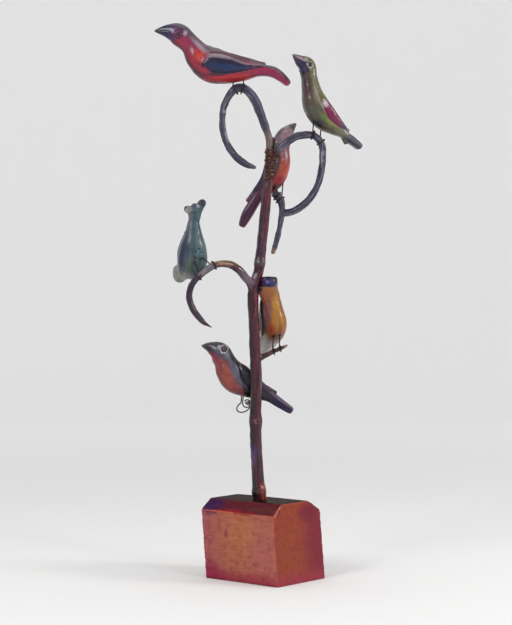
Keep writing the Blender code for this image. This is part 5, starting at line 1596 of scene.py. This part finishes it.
# %% Strokes of the yellow bird and the robin
STROKES["yellow"] = [
    ("wing", "wing", (2.5, 0), (3.6, 10.6), 0.06, (52, 32, 52)),
    ("back", "girth", (5.0, 11), (3.6, 5.5), 0.4, (96, 72, 58)),
    # The yellow paint is laid as a shaded and a lit copy: mauve brown toward the left as painted shade,
    # bright ochre on the right as painted light.
    ("left side's painted shade", "tree", (1.8, 2, 280.8), (5, 16, 16), 0.6, (134, 88, 88)),
    ("brown shoulder", "tree", (-1.0, 2, 296.4), (5.5, 16, 7), 0.6, (154, 92, 58)),
    ("right side's painted light", "tree", (10.6, 2, 286), (3.6, 16, 11), 0.8, (182, 130, 46)),
    ("orange breast", "tree", (17.6, 2, 272.5), (3.6, 16, 8), 0.8, (172, 118, 48)),
    ("golden middle", "tree", (9.5, 2, 268.0), (4, 16, 8), 0.6, (176, 120, 42)),
    ("orange-red belly", "tree", (6.8, 2, 261.5), (3.4, 16, 5.5), 0.8, (164, 62, 42)),
    ("lower belly", "tree", (14.0, 2, 254.0), (9, 16, 3.6), 0.5, (132, 84, 66)),
    ("vent", "girth", (7.6, -4), (1.4, 12), 0.5, (186, 182, 178)),
    ("tail", "girth", (9.2, 0), (1.5, ANY), 0.4, (206, 202, 198)),
    ("near leg's hole", "tree", (8.4, 2, 254.4), (2.4, 16, 1.6), 0.5, (54, 32, 36)),
    ("far leg's hole", "tree", (15.2, 2, 255.4), (2.2, 16, 1.5), 0.5, (60, 38, 38)),
    # The dark strip between the bird and the trunk is the dark wing made darker still by painted shade.
    ("dark wing", "tree", (-4.6, 8, 284), (2.8, 16, 14), 0.35, (44, 30, 38)),
    ("wing tip in painted shade", "tree", (-2.6, 8, 266), (3.2, 14, 13), 0.35, (50, 32, 40)),
    ("cap", "tree", (2.6, 4, 316), (40, 60, 9.8), 0.05, (23, 21, 53)),
    ("cap's shaded side", "tree", (-6.6, 0, 311), (4.0, 20, 6), 0.6, (50, 28, 66)),
    ("cap's blue", "tree", (4.0, -4, 311.5), (6.0, 14, 4.6), 0.6, (35, 32, 90)),
    # The light blue spot where the bill points at the viewer is a painted highlight.
    ("bill's painted highlight", "tree", (1.8, -8, 311.8), (1.8, 14, 1.8), 0.5, (92, 96, 170)),
    ("cap's dark rim", "tree", (9.4, 4, 314.6), (3.0, 20, 1.5), 0.5, (30, 26, 50), 25.0),
    ("grey corner", "tree", (12.8, 2, 307.8), (2.6, 16, 2.6), 0.5, (112, 106, 140)),
    ("grey frame", "tree", (-5.0, 2, 303.6), (3.0, 16, 3.0), 0.2, (112, 104, 104)),
    ("frame's dark", "tree", (-4.8, 2, 303.6), (1.6, 16, 1.7), 0.25, (44, 36, 46)),
]
STROKES["robin"] = [
    ("belly's edge", "girth", (5.2, -10.5), (3.0, 2.6), 0.6, (116, 60, 58)),
    ("orange glow", "body", (16.0, 21), (4.6, 10), 0.8, (166, 84, 70)),
    ("throat", "body", (31, 45), (6, 5.5), 0.6, (134, 46, 70)),
    ("grey side", "body", (7.0, 27.5), (5.4, 19), 0.35, (104, 106, 122), -24.0),
    ("back", "girth", (4.4, 11.5), (2.6, 5.6), 0.25, (26, 22, 32)),
    ("black flank", "body", (-14.2, 12), (14.5, 26), 0.12, (26, 22, 32)),
    # The pale streak along the front edge of the wing is a painted highlight.
    ("side's painted highlight", "body", (3.6, 25), (1.5, 12), 0.8, (146, 146, 162), -24.0),
    ("wing", "wing", (2.9, 0), (3.2, 10.6), 0.1, (28, 26, 40)),
    ("wing's end", "wing", (4.6, 0), (1.2, 9.6), 0.4, (40, 34, 72)),
    ("head", "girth", (1.6, 5.0), (1.5, 9.0), 0.3, (78, 76, 92)),
    ("cheek", "body", (17.0, 44.0), (3.4, 4.6), 0.6, (112, 114, 124)),
    ("crown", "girth", (2.2, 11.4), (1.7, 4.0), 0.5, (46, 44, 56)),
    ("bill", "girth", (0.0, 0), (1.0, ANY), 0.3, (78, 84, 76)),
    ("bill's dark", "girth", (0.9, -2), (0.5, 5.0), 0.6, (50, 42, 64)),
    ("lore", "body", (25.4, 52.6), (1.8, 2.0), 0.7, (196, 196, 206)),
    ("eye ring", "body", (19.9, 50.5), (4.9, 4.9), 0.2, (212, 212, 220)),
    ("eye ring's line", "body", (19.9, 50.5), (3.4, 3.4), 0.15, (30, 26, 42)),
    ("eye ring's inner", "body", (19.9, 50.5), (2.3, 2.3), 0.2, (132, 130, 150)),
    ("eye", "body", (19.9, 50.5), (1.2, 1.2), 0.3, (28, 24, 38)),
    ("tail", "girth", (9.2, 0), (1.7, ANY), 0.3, (30, 22, 60)),
    ("tail's root", "girth", (7.8, 0), (0.8, ANY), 0.5, (46, 40, 60)),
    ("tail's light edge", "girth", (9.1, 6.5), (1.3, 2.6), 0.7, (104, 88, 116)),
    ("tail's end", "girth", (10.1, -2), (0.5, 8), 0.5, (40, 30, 66)),
]
print("strokes:", {name: len(rows) for name, rows in STROKES.items()})

# %% [markdown]
# With the strokes listed, one function paints any bird: the ground colour first, then every
# patch through a shaken place, then the varnish. The brush marks follow the girth coordinates,
# so they run from bill to tail round every curve of the body.

# %% Bird paint
GROUNDS = {"red_and_black": (160, 44, 66), "green": (96, 92, 56), "rose": (170, 72, 66),
           "teal": (80, 98, 104), "yellow": (152, 98, 54), "robin": (146, 68, 66)}
STAINS = {"red_and_black": (70, 26, 50), "green": (46, 44, 40), "rose": (84, 40, 62),
          "teal": (40, 48, 66), "yellow": (104, 64, 56), "robin": (76, 36, 48)}
SHINE = {"red_and_black": 0.42, "green": 0.45, "rose": 0.4, "teal": 0.22, "yellow": 0.2, "robin": 0.3}


def bird_paint(name):
    """The paint of one bird."""
    made, tree, shader = new_paint(name + "_paint")
    girth = stored(tree, "girth")[0]
    place = stored(tree, "tree")[0]
    spaces = {"girth": use(tree, hand_wobble, Place=girth, Amount=0.22, Size=1.4).outputs[0],
              "body": use(tree, hand_wobble, Place=stored(tree, "body")[0], Amount=0.9, Size=4.0).outputs[0],
              "wing": use(tree, hand_wobble, Place=stored(tree, "wing")[0], Amount=0.25, Size=1.5).outputs[0],
              "tree": use(tree, hand_wobble, Place=place, Amount=1.1, Size=3.5).outputs[0]}
    paint = lay_strokes(tree, seen(*GROUNDS[name]), STROKES[name], spaces)
    varnish(tree, shader, paint, place, stretched(tree, girth, (0.5, 0.55, 0.55)), depth=0.00045,
            gloss=SHINE[name], Bare=seen(*[level + 24 for level in GROUNDS[name]]), Wear=0.1,
            Stain=seen(*STAINS[name]), Staining=0.42, Brushing=0.7)
    print(made.name, len(STROKES[name]), "strokes,", len(tree.nodes), "nodes")
    return made


bird_paints = {name: bird_paint(name) for name in BIRDS}

# %% [markdown]
# The paper. A lamp cannot light the far part of the bowl as brightly as its middle without also
# flooding the carving, so the paper glows a little far from the carving, as if lit from behind.

# %% Studio paper
FAR_GLOW = (0.15, 0.148, 0.153)
GLOW_NEAR = 0.7     # metres from the carving where the glow starts
GLOW_FAR = 2.3
PAPER_WHITE = (0.81, 0.815, 0.815, 1.0)

paper, tree, shader = new_paint("studio_paper")
reach = put(tree, "VectorMath", put(tree, "TexCoord").outputs["Object"], operation="LENGTH").outputs["Value"]
glow = mixed(tree, ramp(tree, reach, GLOW_NEAR, GLOW_FAR), (0.0, 0.0, 0.0), FAR_GLOW)
tree.links.new(glow, shader.inputs["Emission Color"])
shader.inputs["Emission Strength"].default_value = 1.0
shader.inputs["Base Color"].default_value = PAPER_WHITE
shader.inputs["Roughness"].default_value = 0.95
shader.inputs["Specular IOR Level"].default_value = 0.1
bowl_mesh.materials.append(paper)

# %% [markdown]
# A list says which plain piece each finer piece stands for, and what it is painted with. Twigs
# share one paint and so do the legs, since they were the same material in the same hands.

# %% Which piece stands for which
PIECES = [(block, "block", "block_paint", block_paint),
          (trunk, "tree_trunk", "trunk_paint", trunk_paint),
          (top_loop, "top_loop_branch", "twig_paint", twig_paint),
          (right_loop, "right_loop_branch", "twig_paint", twig_paint),
          (binding, "branch_binding", "binding_wire", binding_wire)]
PIECES += [(birds[name], "bird_" + name, name + "_paint", bird_paints[name]) for name in BIRDS]
PIECES += [(piece, node, "leg_wire", leg_wire) for node, piece in legs.items()]

# %% [markdown]
# Last, every piece is tied to the plain model. It rides on the one body that there is, takes its paint, and
# the plain piece that it stands for is hidden.

# %% Hand over
for piece, node, slot, paint in PIECES:
    piece.data.materials.clear()
    piece.data.materials.append(paint)
    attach(piece, "root")
    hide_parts(node)
faces = sum(len(piece.data.polygons) for piece, node, slot, paint in PIECES)
print("pieces:", len(PIECES), "faces:", faces)
